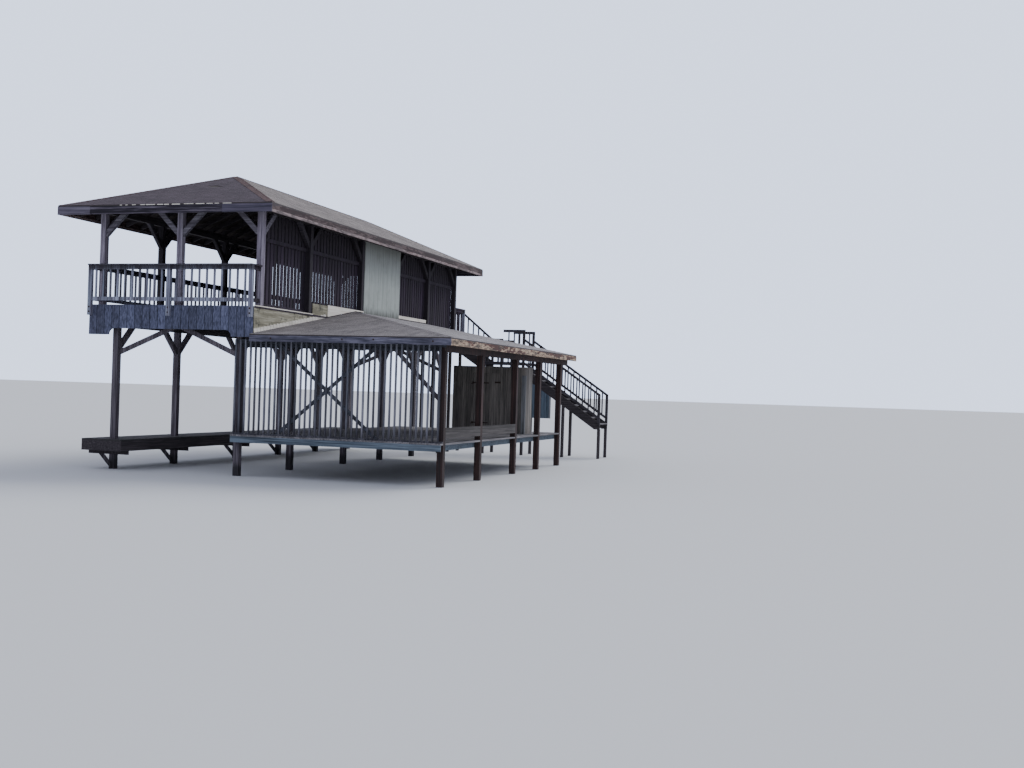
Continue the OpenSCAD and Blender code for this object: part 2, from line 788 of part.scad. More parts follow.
// Short railings from an end railing back to the corner posts of the upper storey
module near_return(x) {
    rail_y(deck_y0, 0, x, [-cap_out, 0]);
}

module far_return(x) {
    rail_y(house_l, deck_y1 - stud_w, x, [0, -cap_out]);
}

module lake_railing() {
    color("dimgray") placed() {
        near_return(0);
        for (i = [0:4]) rail_y(post_mid(i) + post / 2, post_mid(i + 1) - post / 2, side_rail);
        far_return(side_rail);
    }
}

// Railing round the open far end, with a gate at the stair's top platform
module far_railing() {
    y = deck_y1 - stud_w;
    x1 = deck_w - stud_w - side_rail;
    color("dimgray") placed() {
        rail_posts([[side_rail, y], [top_x0 - stud_w, y], [top_x1, y], [x1, y]], deck_z);
        rail_x(side_rail, top_x0, y);
        rail_x(top_x1, x1 + stud_w, y);
    }
}

// Upright boards nailed to the inside of the bank wall's rails
module wall_slats() {
    x1 = deck_w - post;
    z0 = deck_z + 2 * flash_gap;
    color("dimgray") placed()
        for (span = [[marks[0] + post, marks[2] - post / 2], [marks[3] + post / 2, marks[5] - post]])
            for (y = [span[0]:wall_pitch:span[1] - wall_board])
                block([x1 - slat_t, y, z0], [x1, y + wall_board, beam_z]);
}

// Rails of the bank wall between its posts, and the short railings at its two ends
module wall_rails() {
    x1 = deck_w - post;
    color("dimgray") placed() {
        near_return(deck_w - stud_w);
        for (i = [0, 1, 3, 4]) for (z = [deck_z + 2 * flash_gap, beam_z - knee - stud_w - flash_gap])
            block([x1, post_mid(i) + post / 2, z], [x1 + lumber_t, post_mid(i + 1) - post / 2, z + stud_w]);
        far_return(deck_w - stud_w - side_rail);
    }
}

module wall_panel() {
    color("honeydew") placed()
        block([deck_w, marks[2] + post / 2, lean_top_z + flash_gap], [wall_x, marks[3] + post / 2, beam_z]);
}

// Base boards along the lean-to's roof: one up to the pale panel, and a low one behind it
module wall_flashing() {
    y0 = lean_y0 + (deck_z - lean_eave_z) / hip_slope;
    y1 = marks[2] + post / 2 - fit_gap;
    top = deck_z + lean_top + lumber_t;
    bend = [for (y = [lean_hip_y]) if (y > y0 && y < y1) [y, lean_top_z + flash_gap]];
    color("wheat") placed() {
        yz_plate(deck_w, wall_x, concat([[y0, top], [y0, lean_cover(deck_w, y0) + flash_gap]], bend,
            [[y1, lean_cover(deck_w, y1) + flash_gap], [y1, top]]));
        block([deck_w, marks[3] + post / 2, lean_top_z + flash_gap],
            [wall_x, lean_y1, lean_top_z + flash_gap + stud_w]);
    }
}

// The space under the lean-to's surface that lies `down` below the top of the covering
module lean_space(down, base, x0 = wall_x) {
    intersection() {
        xz_plate(lean_y0, lean_y1, [[x0, base], [lean_x1, base], [lean_x1, lean_eave_z - down],
            [x0, lean_top_z - (x0 - deck_w) * lean_slope - down]]);
        yz_plate(x0, lean_x1, [[lean_y0, base], [lean_y1, base], [lean_y1, lean_top_z - down],
            [lean_hip_y, lean_top_z - down], [lean_y0, lean_eave_z - down]]);
    }
}

// The layer of the lean-to that its rafters, hip and ledger fill
module lean_layer() {
    low = lean_eave_z - roof_t - 2 * rafter_h;
    difference() {
        lean_space(roof_t + fit_gap, low, deck_w);
        lean_space(roof_t + fit_gap + rafter_h, low - eps, deck_w);
    }
}

module through_lean() {
    translate([0, 0, lean_eave_z - 4 * rafter_h]) linear_extrude(lean_fall + 5 * rafter_h) children();
}

// Plan of the strip along the lean-to's hip
module lean_strip(half) {
    across = [lean_k, 1] * half / norm([lean_k, 1]);
    a = [lean_x1, lean_y0];
    b = [deck_w, lean_hip_y];
    polygon([a - across, b - across, b + across, a + across]);
}

module leanto_roof() {
    color("gray") placed()
        difference() {
            lean_space(0, lean_eave_z - roof_t);
            lean_space(roof_t, lean_eave_z - 2 * roof_t);
            through_lean() lean_strip(joint_gap / 2);
        }
}

// The beam on the bank posts, and the ledger that carries the rafters' upper ends
module leanto_beam() {
    color("saddlebrown") placed() {
        block([bank_x + beam_side, bank_mid(0) - post / 2, lean_beam_z],
            [bank_x + beam_side + beam_w, lean_y1, lean_plate_z]);
        intersection() {
            lean_layer();
            through_lean() translate([deck_w, lean_y0 + face_t])
                square([lumber_t, lean_y1 - lean_y0 - face_t]);
        }
    }
}

module leanto_rafters() {
    x0 = deck_w + lumber_t;
    x1 = lean_x1 - face_t;
    y0 = lean_y0 + face_t;
    run = lean_y1 - lean_hip_y - lumber_t;
    n = ceil(run / frame_gap);
    off = norm([lean_k, 1]) * (lumber_t / 2 + fit_gap);
    function hip_y(x) = lean_y0 + (lean_x1 - x) * lean_k;
    color("dimgray") placed() intersection() {
        lean_layer();
        through_lean() union() {
            for (i = [0:n]) translate([x0, lean_hip_y + i * run / n]) square([x1 - x0, lumber_t]);
            intersection() {
                polygon([[x1, hip_y(x1) + off], [x1, lean_hip_y], [x0, lean_hip_y], [x0, hip_y(x0) + off]]);
                for (y = [lean_hip_y - frame_gap:-frame_gap:y0])
                    translate([x0, y]) square([x1 - x0, lumber_t]);
            }
            intersection() {
                polygon([[x0, y0], [lean_x1 - (face_t + off) / lean_k, y0], [x0, hip_y(x0) - off]]);
                for (x = [deck_w + frame_gap:frame_gap:x1]) translate([x, y0]) square([lumber_t, lean_hip]);
            }
        }
    }
}

module leanto_near_fascia() {
    color("slategray") placed()
        block([wall_x, lean_y0, lean_eave_z - roof_t - lean_fascia],
            [lean_x1, lean_y0 + face_t, lean_eave_z - roof_t]);
}

module leanto_bank_fascia() {
    color("rosybrown") placed()
        block([lean_x1 - face_t, lean_y0 + face_t, lean_eave_z - roof_t - lean_fascia],
            [lean_x1, lean_y1, lean_eave_z - roof_t]);
}

module stair_stringers() {
    foot_x = gang_x1 + (gang_z - string_h - bank_z) / lower_slope;
    color("dimgray") placed()
        for (y = [stair_y0, stair_y1 - lumber_t]) {
            xz_plate(y, y + lumber_t, [[gang_x1, gang_z], [gang_x1, gang_z - string_h],
                [foot_x, bank_z], [stair_x1, bank_z], [stair_x1, bank_z + lower_rise]]);
            xz_plate(y, y + lumber_t, [[top_x1, deck_z], [top_x1, deck_z - string_h],
                [gang_x0, gang_z + upper_rise - string_h], [gang_x0, gang_z + upper_rise]]);
        }
}

module stair_treads() {
    y0 = stair_y0 + lumber_t;
    y1 = stair_y1 - lumber_t;
    color("gray") placed() {
        for (i = [1:lower_rises - 1])
            block([gang_x1 + (i - 1) * going, y0, gang_z - i * lower_rise - board_t],
                [gang_x1 + i * going, y1, gang_z - i * lower_rise]);
        for (i = [1:upper_rises - 1])
            block([top_x1 + (i - 1) * going, y0, deck_z - i * upper_rise - board_t],
                [top_x1 + i * going, y1, deck_z - i * upper_rise]);
    }
}

module stair_platforms() {
    color("gray") placed() {
        block([top_x0, stair_y0, deck_z - platform_h], [top_x1, stair_y1, deck_z]);
        block([gang_x0, stair_y0, gang_z - platform_h], [gang_x1, stair_y1, gang_z]);
    }
}

// One flat railing from point a to point b in X and Z, its outer face at y, with an end post
// bolted on to z - drop, and a first post too where no railing comes before it
module slope_rail(a, b, y, h, drop, first = false) {
    x0 = first ? a[0] : a[0] + fit_gap;
    x1 = b[0];
    k = (b[1] - a[1]) / (b[0] - a[0]);
    n = max(1, round((x1 - x0) / baluster_gap) - 1);
    function at(x) = a[1] + (x - a[0]) * k;
    module upright(x, w, low, high) {
        polygon([[x, at(x) + low], [x + w, at(x + w) + low], [x + w, at(x + w) + high], [x, at(x) + high]]);
    }
    translate([0, y + lumber_t, 0]) rotate([90, 0, 0]) linear_extrude(lumber_t) {
        for (low = [toe_gap, h - stud_w]) upright(x0, x1 - x0, low, low + stud_w);
        for (x = first ? [x0, x1 - stud_w] : [x1 - stud_w]) upright(x, stud_w, -drop, h);
        for (i = [1:n]) upright(x0 + i * (x1 - x0) / (n + 1) - slat / 2, slat, toe_gap, h);
    }
}

module stair_rails() {
    guard_x = gang_x1 - guard_len;
    foot = [stair_x1, bank_z + lower_rise];
    color("dimgray") placed() {
        for (y = [stair_y0 - lumber_t, stair_y1]) {
            slope_rail([gang_x0, gang_z], [guard_x, gang_z], y, rail_h, platform_h, y < stair_y1);
            slope_rail([guard_x, gang_z], [gang_x1, gang_z], y, guard_h, platform_h);
            slope_rail([gang_x1, gang_z], foot, y, rail_h, platform_h / 2);
        }
        slope_rail([top_x0, deck_z], [top_x1, deck_z], stair_y1, rail_h, platform_h, true);
        slope_rail([top_x1, deck_z], [gang_x0, gang_z], stair_y1, rail_h, platform_h / 2);
    }
}

// Boarded panel under the near stringer of the lower flight, with a trim board at its edge
module stair_panel() {
    x1 = gang_x1 + panel_w;
    color("slategray") placed() {
        xz_plate(stair_y0, stair_y0 + face_t, [[gang_x1, panel_z], [x1, panel_z],
            [x1, string_under(x1)], [gang_x1, string_under(gang_x1)]]);
        xz_plate(stair_y0 - slat_t, stair_y0, [[x1 - stud_w / 2, panel_z], [x1, panel_z],
            [x1, string_under(x1)], [x1 - stud_w / 2, string_under(x1 - stud_w / 2)]]);
    }
}

lake_posts();
slip_posts();
bank_posts();
stair_posts();
walkway_deck();
walkway_beams();
lower_deck();
lower_deck_frame();
slat_screen();
storage_front_wall();
storage_header();
storage_side_walls();
storage_back_wall();
storage_door();
girders();
lower_braces();
upper_deck_frame();
upper_deck();
front_skirt();
bank_rim_panel();
upper_posts();
side_beams();
end_beams();
upper_braces();
rafters();
ridge_and_hips();
roof();
end_fascias();
side_fascias();
near_railing();
lake_railing();
far_railing();
wall_slats();
wall_rails();
wall_panel();
wall_flashing();
leanto_roof();
leanto_rafters();
leanto_beam();
leanto_near_fascia();
leanto_bank_fascia();
stair_stringers();
stair_treads();
stair_platforms();
stair_rails();
stair_panel();
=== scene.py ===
# %% [markdown]
# # A weathered boathouse
# The timber frame of this boathouse is already modelled, piece by piece and at its real size. This
# lesson gives it what a joiner, a roofer and thirty years of weather give the real one: shingles,
# boards, flashings, bolts, peeling paint and grey wood. Blender works in metres here, with +X to
# the bank, +Y away from the near end and +Z up.

# %% Open the frame
import math
import random

import bmesh
import bpy
from mathutils import Matrix, Vector


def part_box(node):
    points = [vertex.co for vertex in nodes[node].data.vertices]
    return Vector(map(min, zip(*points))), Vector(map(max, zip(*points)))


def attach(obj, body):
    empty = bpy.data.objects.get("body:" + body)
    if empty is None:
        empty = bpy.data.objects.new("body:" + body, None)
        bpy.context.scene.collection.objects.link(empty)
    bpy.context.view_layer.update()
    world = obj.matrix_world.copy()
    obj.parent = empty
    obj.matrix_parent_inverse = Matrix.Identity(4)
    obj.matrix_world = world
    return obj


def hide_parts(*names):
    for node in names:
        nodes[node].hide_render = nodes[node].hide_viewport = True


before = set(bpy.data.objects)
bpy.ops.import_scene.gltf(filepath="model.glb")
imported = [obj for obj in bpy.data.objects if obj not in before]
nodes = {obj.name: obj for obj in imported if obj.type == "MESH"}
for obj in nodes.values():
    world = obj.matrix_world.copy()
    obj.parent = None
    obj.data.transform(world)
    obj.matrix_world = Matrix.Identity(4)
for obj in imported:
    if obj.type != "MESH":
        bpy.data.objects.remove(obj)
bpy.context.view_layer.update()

X, Y, Z = Vector((1, 0, 0)), Vector((0, 1, 0)), Vector((0, 0, 1))
MM = 0.001

# %% [markdown]
# ## The camera
# The picture is taken from eye height on the bank. A camera can be set by eye until the picture looks
# right, or its place can be worked out. Here its place, its turn and its lens were found by fitting a
# pinhole camera to corners of the real building, so that each post and eave falls where the
# photograph has it. A camera looks along its own -Z axis, so its matrix holds right, up and minus
# forward as columns.

# %% Camera
PHOTO_WIDTH = 1024
FOCAL_PIXELS = 1203.0
CAMERA_PLACE = Vector((13.761, -31.378, 2.134))
YAW, PITCH, ROLL = (math.radians(a) for a in (17.468, 0.306, 1.790))

forward = Vector((-math.sin(YAW) * math.cos(PITCH), math.cos(YAW) * math.cos(PITCH), math.sin(PITCH)))
level_right = Vector((math.cos(YAW), math.sin(YAW), 0))
level_up = level_right.cross(forward)
right = math.cos(ROLL) * level_right + math.sin(ROLL) * level_up
up = right.cross(forward)

camera_data = bpy.data.cameras.new("camera")
camera_data.sensor_width = 36.0
camera_data.lens = FOCAL_PIXELS / PHOTO_WIDTH * camera_data.sensor_width
camera_data.clip_end = 600.0
camera = bpy.data.objects.new("camera", camera_data)
camera.matrix_world = Matrix.Translation(CAMERA_PLACE) @ Matrix((right, up, -forward)).transposed().to_4x4()
bpy.context.scene.collection.objects.link(camera)
bpy.context.scene.camera = camera
print("lens:", round(camera_data.lens, 2), "mm")

# %% [markdown]
# ## Colours and shader nodes
# Colours are written as the sRGB hex values that a paint chart gives, and one function turns them
# to the linear values that a shader works in. One more function adds a shader node with its
# settings, and fills or links its sockets, so that each material below reads as a short recipe.

# %% Helpers for materials
def linear(chip):
    """An sRGB hex colour as linear red, green, blue and alpha."""
    parts = [int(chip[i:i + 2], 16) / 255 for i in (0, 2, 4)]
    return tuple(p / 12.92 if p <= 0.04045 else ((p + 0.055) / 1.055) ** 2.4 for p in parts) + (1.0,)


def add_node(tree, kind, sockets=None, stops=(), **settings):
    """Adds a shader node with its settings, links and colour stops, and gives its outputs."""
    node = tree.nodes.new("ShaderNode" + kind)
    for name, value in settings.items():
        setattr(node, name, value)
    for socket, value in (sockets or {}).items():
        if isinstance(value, bpy.types.NodeSocket):
            tree.links.new(value, node.inputs[socket])
        else:
            node.inputs[socket].default_value = value
    for i, (place, chip) in enumerate(stops):
        stop = node.color_ramp.elements[i] if i < 2 else node.color_ramp.elements.new(place)
        stop.position = place
        stop.color = linear(chip)
    return node.outputs


def start_material(name):
    """An empty material: itself, its node tree and the socket with the object's own coordinates."""
    material = bpy.data.materials.new(name)
    material.use_nodes = True
    tree = material.node_tree
    tree.nodes.clear()
    return material, tree, add_node(tree, "TexCoord")["Object"]


def finish_surface(tree, colour, roughness, relief, depth, **sockets):
    """The surface itself, with a relief whose full height is `depth` metres."""
    bump = add_node(tree, "Bump", {"Height": relief, "Distance": depth, "Strength": 0.8})
    shader = add_node(tree, "BsdfPrincipled", {"Base Color": colour, "Roughness": roughness,
                                               "Normal": bump["Normal"], **sockets})
    add_node(tree, "OutputMaterial", {"Surface": shader["BSDF"]})


print("a middle grey, in linear light:", [round(part, 3) for part in linear("808080")])

# %% [markdown]
# ## Two patterns that every finish shares
# Weather writes the same two things on wood, paint, asphalt and steel. The first is streaks: cloudy
# noise, stretched along the grain or down the slope, with a width and a length in metres. Equal
# width and length give round clouds. The second is a stain: another colour, laid over the first
# where a pattern passes from one level to another. A narrow pass gives a sharp edge, as of a flake,
# and a wide one a soft edge, as of damp.

# %% Streaks and stains
def streaks(tree, where, along, width, length, detail=4.0, rough=0.55, swirl=0.0):
    """A pattern from 0 to 1 of streaks of this width and length, along an axis: 0, 1 or 2."""
    lumps = [1 / length if axis == along else 1 / width for axis in range(3)]
    space = add_node(tree, "Mapping", {"Vector": where, "Scale": lumps})["Vector"]
    return add_node(tree, "TexNoise", {"Vector": space, "Scale": 1.0, "Detail": detail, "Roughness": rough,
                                       "Distortion": swirl})["Fac"]


def stained(tree, colour, pattern, low, high, strength, chip):
    """The colour, with a stain over it that grows as the pattern goes from low to high."""
    share = add_node(tree, "MapRange", {"Value": pattern, "From Min": low, "From Max": high,
                                        "To Min": 0.0, "To Max": strength})["Result"]
    return add_node(tree, "Mix", {0: share, 6: colour, 7: linear(chip)}, data_type="RGBA")[2]


# %% [markdown]
# ## Weathered timber
# Almost everything here is sawn pine that once had a stain. Sun and rain take the soft spring wood
# first, so the surface gets fine ridges along the grain, and it turns silver where it dries and
# nearly black where it stays wet. A photograph of wood would repeat from board to board, so one
# recipe makes them all: streaks along the grain, slower clouds of damp, and a shade of its own for
# each board. The shade is stored on the boards that this script saws, and on a CAD piece it comes
# from the place of the board in its row.

# %% Timber recipe
GRAIN_WIDTH = 0.030     # a streak that shows from the bank; real rings are 2 to 5 mm
RIDGE_WIDTH = 0.005     # the raised grain
RIDGE_LENGTH = 0.35
RIDGE_DEPTH = 0.0012
# the colour of a darkening along an axis: painted shade on most timbers, dirt at the foot of the slats
SHADE_AND_DIRT = "221C22"
SLIME = "17171A"


def shade_of(tree, where, row):
    """A chance shade from 0 to 1 for each board: stored on it, or by its place in a row."""
    if row is None:
        return add_node(tree, "Attribute", attribute_name="tone")["Fac"]
    axis, first, pitch = row
    place = add_node(tree, "SeparateXYZ", {0: where})[axis]
    from_first = add_node(tree, "Math", {0: place, 1: first}, operation="SUBTRACT")[0]
    boards = add_node(tree, "Math", {0: from_first, 1: pitch}, operation="DIVIDE")[0]
    number = add_node(tree, "Math", {0: boards}, operation="FLOOR")[0]
    return add_node(tree, "TexWhiteNoise", {"W": number}, noise_dimensions="1D")["Value"]


def timber(name, pale, mid, dark, along, row=None, damp=0.4, wet_below=None, spread=0.25, streak=1.1,
           painted_shade_and_dirt=None):
    """Sawn timber that has weathered, with its grain along an axis: 0, 1 or 2. A darkening may grow from
    one place to another along an axis: painted shade under the roof, the eave and the rail cap, dirt at
    the foot of the slats, and a darker lake end on the skirt."""
    material, tree, where = start_material(name)
    grain = streaks(tree, where, along, width=GRAIN_WIDTH, length=streak, detail=5, rough=0.6, swirl=0.3)
    ridges = streaks(tree, where, along, width=RIDGE_WIDTH, length=RIDGE_LENGTH, detail=3, rough=0.6)
    clouds = streaks(tree, where, along, width=0.45, length=1.3, detail=4, rough=0.6)
    wood = add_node(tree, "ValToRGB", {0: grain}, [(0.30, dark), (0.48, mid), (0.68, pale)])["Color"]
    shade = add_node(tree, "MapRange", {"Value": shade_of(tree, where, row), "To Min": 1 - spread,
                                        "To Max": 1 + spread})["Result"]
    toned = add_node(tree, "HueSaturation", {"Color": wood, "Value": shade})["Color"]
    colour = stained(tree, toned, clouds, 0.50, 0.72, damp, dark)
    # painted shade under the roof, the eave and the rail cap, and dirt at the foot of the slats, as one
    # darkening along an axis
    if painted_shade_and_dirt:
        axis, start, end, strength = painted_shade_and_dirt
        place = add_node(tree, "SeparateXYZ", {0: where})[axis]
        colour = stained(tree, colour, place, start, end, strength, SHADE_AND_DIRT)
    if wet_below is not None:
        height = add_node(tree, "SeparateXYZ", {0: where})[2]
        line = add_node(tree, "Math", {0: clouds, 1: height}, operation="SUBTRACT")[0]
        colour = stained(tree, colour, line, 0.35 - wet_below, 0.55 - wet_below, 0.85, SLIME)
    finish_surface(tree, colour, 0.86, ridges, RIDGE_DEPTH)
    return material


# %% [markdown]
# ## The timbers of this house
# One timber for everything would be less work, but the eye tells the parts of a building by small
# differences. The upper posts are grey-violet at the near end and nearly black further under the roof,
# where painted shade darkens them; the lake posts carry a tide mark, and the bank posts have kept their
# red stain. Each finish is the same recipe with three colours, from the dry ridges of the grain to its
# wet hollows, the axis that the grain runs along, and the row that the boards stand in.

# %% Rows, painted shade and dirt
slat_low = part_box("slat_screen")[0]
wall_low, wall_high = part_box("wall_slats")
SLAT = 0.038
SLAT_PITCH = 0.127
WALL_PITCH = 0.170
BAY = 2.44
JOIST_PITCH = 0.61
BALUSTER_PITCH = 0.195
GOING = 0.29
RIM_BOARD = 0.30
SHEET_WIDTH = 1.22
TIDE_MARK = 0.25

# A row of boards: the axis that it runs along, a place to count from, and the pitch
by_bay = (1, wall_low.y, BAY)
by_joist = (1, wall_low.y, JOIST_PITCH)
by_beam = (0, wall_low.x, JOIST_PITCH)
by_wall_board = (1, wall_low.y, WALL_PITCH)
by_baluster = (0, wall_low.x, BALUSTER_PITCH)
by_slat = (0, slat_low.x - (SLAT_PITCH - SLAT) / 2, SLAT_PITCH)
by_tread = (0, wall_low.x, GOING)
by_rim_board = (2, 0, RIM_BOARD)
by_sheet = (1, 0, SHEET_WIDTH)

# A darkening, whose cause is noted on each: the axis that it grows along, where it starts, where it is
# full, and its strength
painted_shade_under_roof = (1, -6.9, -4.7, 0.97)      # painted shade: nearly black further under the roof, lighter only at the near end of the upper storey
# painted shade under the eave: the wall boards darken towards the top
painted_shade_under_eave = (2, 4.9, 5.7, 0.75)
# painted shade under the rail cap: the rail darkens at its top
painted_shade_at_rail_top = (2, 4.63, 4.69, 0.8)
# dirt: the slats darken towards their foot
at_slat_foot = (2, 1.35, 1.0, 0.6)
# the skirt darkens towards its lake end
at_lake_end = (0, -3.3, -4.1, 0.35)
print("the wall's boards start at", round(wall_low.y, 3), "and the screen's slats at", round(slat_low.x, 3))

# %% Posts, framing and decks
post_pine = timber("grey_violet_pine", "C9C3CF", "948A99", "353038", 2, by_bay, painted_shade_and_dirt=painted_shade_under_roof)
lake_pine = timber("tidemarked_pine", "7E777E", "564F56", "29262A", 2, by_bay, wet_below=TIDE_MARK)
brace_pine = timber("greyed_brace_pine", "99969E", "706A74", "2A272D", 0, by_bay, painted_shade_and_dirt=painted_shade_under_roof)
red_stained = timber("red_stained_pine", "4A322D", "2C1E1D", "140F11", 2, by_bay, damp=0.6)
framing_across = timber("dark_framing_across", "4B4547", "332D30", "19161A", 0, by_joist)
framing_along = timber("dark_framing_lengthwise", "4B4547", "332D30", "19161A", 1, by_beam)
framing_upright = timber("dark_framing_upright", "4F494B", "373134", "19161A", 2, by_beam)
stair_frame = timber("dark_stair_timber", "4E4A50", "343036", "1A171A", 0, by_joist)
stair_tread = timber("greyed_stair_tread", "7F7C7D", "5E5A5C", "333032", 1, by_tread)
deck_across = timber("greyed_deck_across", "8D8B8C", "6D6A6C", "3A3739", 0)
deck_along = timber("greyed_deck_lengthwise", "8D8B8C", "6D6A6C", "3A3739", 1)
wet_walkway = timber("wet_walkway_boards", "454243", "302E2F", "171617", 0)
print(len(bpy.data.materials), "timbers so far")

# %% Boards, fascias and sheathing
skirt_boards = timber("blue_grey_skirt_boards", "6B6E86", "4D5167", "2A2C3A", 2, spread=0.22,
                      streak=0.11, painted_shade_and_dirt=at_lake_end)
wall_boards = timber("dark_wall_boards", "3D2F41", "2A1F2D", "120C16", 2, by_wall_board, spread=0.4,
                     painted_shade_and_dirt=painted_shade_under_eave)
rail_pine = timber("worn_rail_pine", "A7B2C3", "706E7D", "3A3841", 2, by_baluster, spread=0.35,
                   painted_shade_and_dirt=painted_shade_at_rail_top)
slat_pine = timber("blue_grey_slats", "85848C", "5D5F68", "2C2C33", 2, by_slat, spread=0.4,
                   painted_shade_and_dirt=at_slat_foot)
screen_frame = timber("dark_screen_frame", "51545D", "393C44", "1D1E23", 0, by_rim_board)
rim_boards = timber("pale_rim_boards", "6F7C87", "4F5A64", "272D34", 0, by_rim_board)
kerb_boards = timber("dark_kerb_boards", "55514F", "3B3736", "1F1C1C", 1, by_rim_board)
store_boards = timber("grey_store_boards", "989088", "716D67", "423F3D", 2, damp=0.5)
trim_boards = timber("pale_trim_boards", "9EA0A2", "7C7E80", "4A4B4D", 2)
stair_boards = timber("blue_grey_stair_boards", "687886", "505E6A", "303942", 2)
silver_fascia = timber("silvered_fascia", "726C78", "58525F", "2F2B33", 0)
stained_fascia = timber("dark_stained_fascia", "6E6672", "1A1421", "0A070E", 0, damp=0.6)
blue_fascia = timber("blue_grey_fascia", "696273", "494555", "25212B", 0)
low_fascia = timber("streaked_low_fascia", "797787", "4A4A58", "1E1D29", 0, damp=0.85, streak=0.5)
sheathing = timber("dark_roof_sheathing", "4D423C", "382E2A", "1E1816", 0, by_sheet, damp=0.5)
print(len(bpy.data.materials), "timber finishes")

# %% [markdown]
# ## Paint that peels
# The fascia boards on the bank side were painted red-brown over an older cream coat. The film has
# lifted, most of all along the lower edge where water hangs, and shows the cream and the bare wood.
# Paint comes off in flakes with a sharp edge, so one stain after another is laid over a narrow pass
# of the same pattern, and the flakes are longer along the board than across it.

# %% Peeling paint
GRIME = "231A19"


def peeled_paint(name, paint, faded, under, bare, along, low_z, high_z, lost, grimy_from=0.52):
    """Old paint on a board: `lost` is the share more that has peeled at its lower edge."""
    material, tree, where = start_material(name)
    flakes = streaks(tree, where, along, width=0.045, length=0.30, detail=6, rough=0.65, swirl=0.6)
    patches = streaks(tree, where, along, width=0.25, length=1.2, detail=3)
    ridges = streaks(tree, where, along, width=RIDGE_WIDTH, length=RIDGE_LENGTH, detail=3, rough=0.6)
    grime = streaks(tree, where, along, width=0.10, length=0.5, detail=5, rough=0.6)
    film = add_node(tree, "ValToRGB", {0: patches}, [(0.35, paint), (0.65, faded)])["Color"]
    height = add_node(tree, "SeparateXYZ", {0: where})[2]
    hanging_wet = add_node(tree, "MapRange", {"Value": height, "From Min": low_z, "From Max": high_z,
                                              "To Min": lost, "To Max": 0.0})["Result"]
    wear = add_node(tree, "Math", {0: patches, 1: hanging_wet})[0]
    gone = add_node(tree, "Math", {0: wear, 1: flakes})[0]
    colour = stained(tree, film, gone, 1.02, 1.06, 1.0, under)
    colour = stained(tree, colour, gone, 1.16, 1.20, 1.0, bare)
    colour = stained(tree, colour, grime, grimy_from, grimy_from + 0.12, 0.75, GRIME)
    finish_surface(tree, colour, 0.8, ridges, 0.0015)
    return material


bank_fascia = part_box("leanto_bank_fascia")
high_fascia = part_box("side_fascias")
low_fascia_paint = peeled_paint("peeling_low_fascia", "47271F", "6B4335", "B7A086", "7A6655", 1,
                                bank_fascia[0].z, bank_fascia[1].z, 0.16, 0.49)
high_trim_paint = peeled_paint("dark_red_trim_paint", "2A191B", "3A2527", "5A4A48", "453A3E", 1,
                               high_fascia[0].z, high_fascia[1].z, 0.02)
high_fascia_paint = peeled_paint("peeling_tan_fascia", "5A4644", "76615E", "958482", "6C605F", 1,
                                 high_fascia[0].z, high_fascia[1].z, 0.20)
print("painted boards start", round(bank_fascia[0].z, 2), "and", round(high_fascia[0].z, 2), "m up")

# %% [markdown]
# ## Asphalt shingles
# A shingle is felt soaked in asphalt with crushed stone on it. New, it is one colour; after years
# its stone washes down the slope, pale streaks and dark algae follow the water, and each tab has
# its own shade. The stones are about 1 mm, too fine for the picture, so they are drawn at 6 mm.

# %% Shingle recipe
GRANULE = 0.006


def shingle(name, pale, mid, dark, slope_axis, bleach=0.35, scarred=0.5):
    """Asphalt shingles on a slope that falls along an axis: 0 or 1. Scars are where the stone has gone."""
    material, tree, where = start_material(name)
    stones = streaks(tree, where, 0, width=GRANULE, length=GRANULE, detail=2, rough=0.7)
    washed = streaks(tree, where, slope_axis, width=0.22, length=1.8, detail=5, rough=0.6, swirl=0.2)
    patches = streaks(tree, where, 0, width=1.1, length=1.1, detail=4, rough=0.6)
    stone = add_node(tree, "ValToRGB", {0: stones}, [(0.32, dark), (0.50, mid), (0.70, pale)])["Color"]
    shade = add_node(tree, "MapRange", {"Value": shade_of(tree, where, None), "To Min": 0.80,
                                        "To Max": 1.20})["Result"]
    tab = add_node(tree, "HueSaturation", {"Color": stone, "Value": shade})["Color"]
    colour = stained(tree, tab, patches, 0.45, 0.75, bleach, pale)
    colour = stained(tree, colour, washed, 0.50, 0.68, 0.45, dark)
    scars = streaks(tree, where, 1 - slope_axis, width=0.05, length=0.22, detail=3, rough=0.5)
    colour = stained(tree, colour, scars, 0.66, 0.69, scarred, pale)
    finish_surface(tree, colour, 0.93, stones, 0.0015)
    return material


# Every slope carries the same shingles, but the near and far ends are a darker copy and the long slopes a
# lighter one: painted shade on the ends and painted light on the long slopes.
near_shingle_painted_shade = shingle("dark_brown_shingle_painted_shade", "5E515A", "42373F", "262025", 1, 0.15)
long_shingle_painted_light = shingle("grey_brown_shingle_painted_light", "A7A099", "807874", "534C4B", 0)
low_near_shingle_painted_shade = shingle("grey_shingle_painted_shade", "A19B98", "6D6868", "423F3F", 1, 0.35, 0.9)
low_long_shingle_painted_light = shingle("pale_grey_shingle_painted_light", "C2BEBD", "9D9998", "686565", 0, 0.45)
cap_shingle = shingle("reddish_cap_shingle", "6E5450", "523D3B", "33282A", 1, 0.1)
print(len(bpy.data.materials), "finishes with the shingles")

# %% [markdown]
# ## Panels, cream boards and metal
# The pale panel is plywood with sawn grooves and a green-white paint. The base boards beside it are
# cream. The bare plywood over the lean-to has yellowed and grown mould in blots. Bolts, straps and
# the hasp are steel that has lost its zinc: dark brown rust with no shine. Dirt could be painted on
# by hand, but each piece would then need an unwrapped map. Noise on the object's own coordinates
# needs none: stretched down the sheet it runs like rain, and unstretched it makes blots.

# %% Sheet and metal finishes
SPLASH_TOP, SPLASH_FULL = 0.42, 0.22     # rain splashes dirt this far up from a roof
SPLASH = "4A4A42"
# painted shade under the eave: the height over which the sheet darkens, and the colour that it darkens to
EAVE_SHADE_RISE = 1.2
PAINTED_EAVE_SHADE = "5A5652"


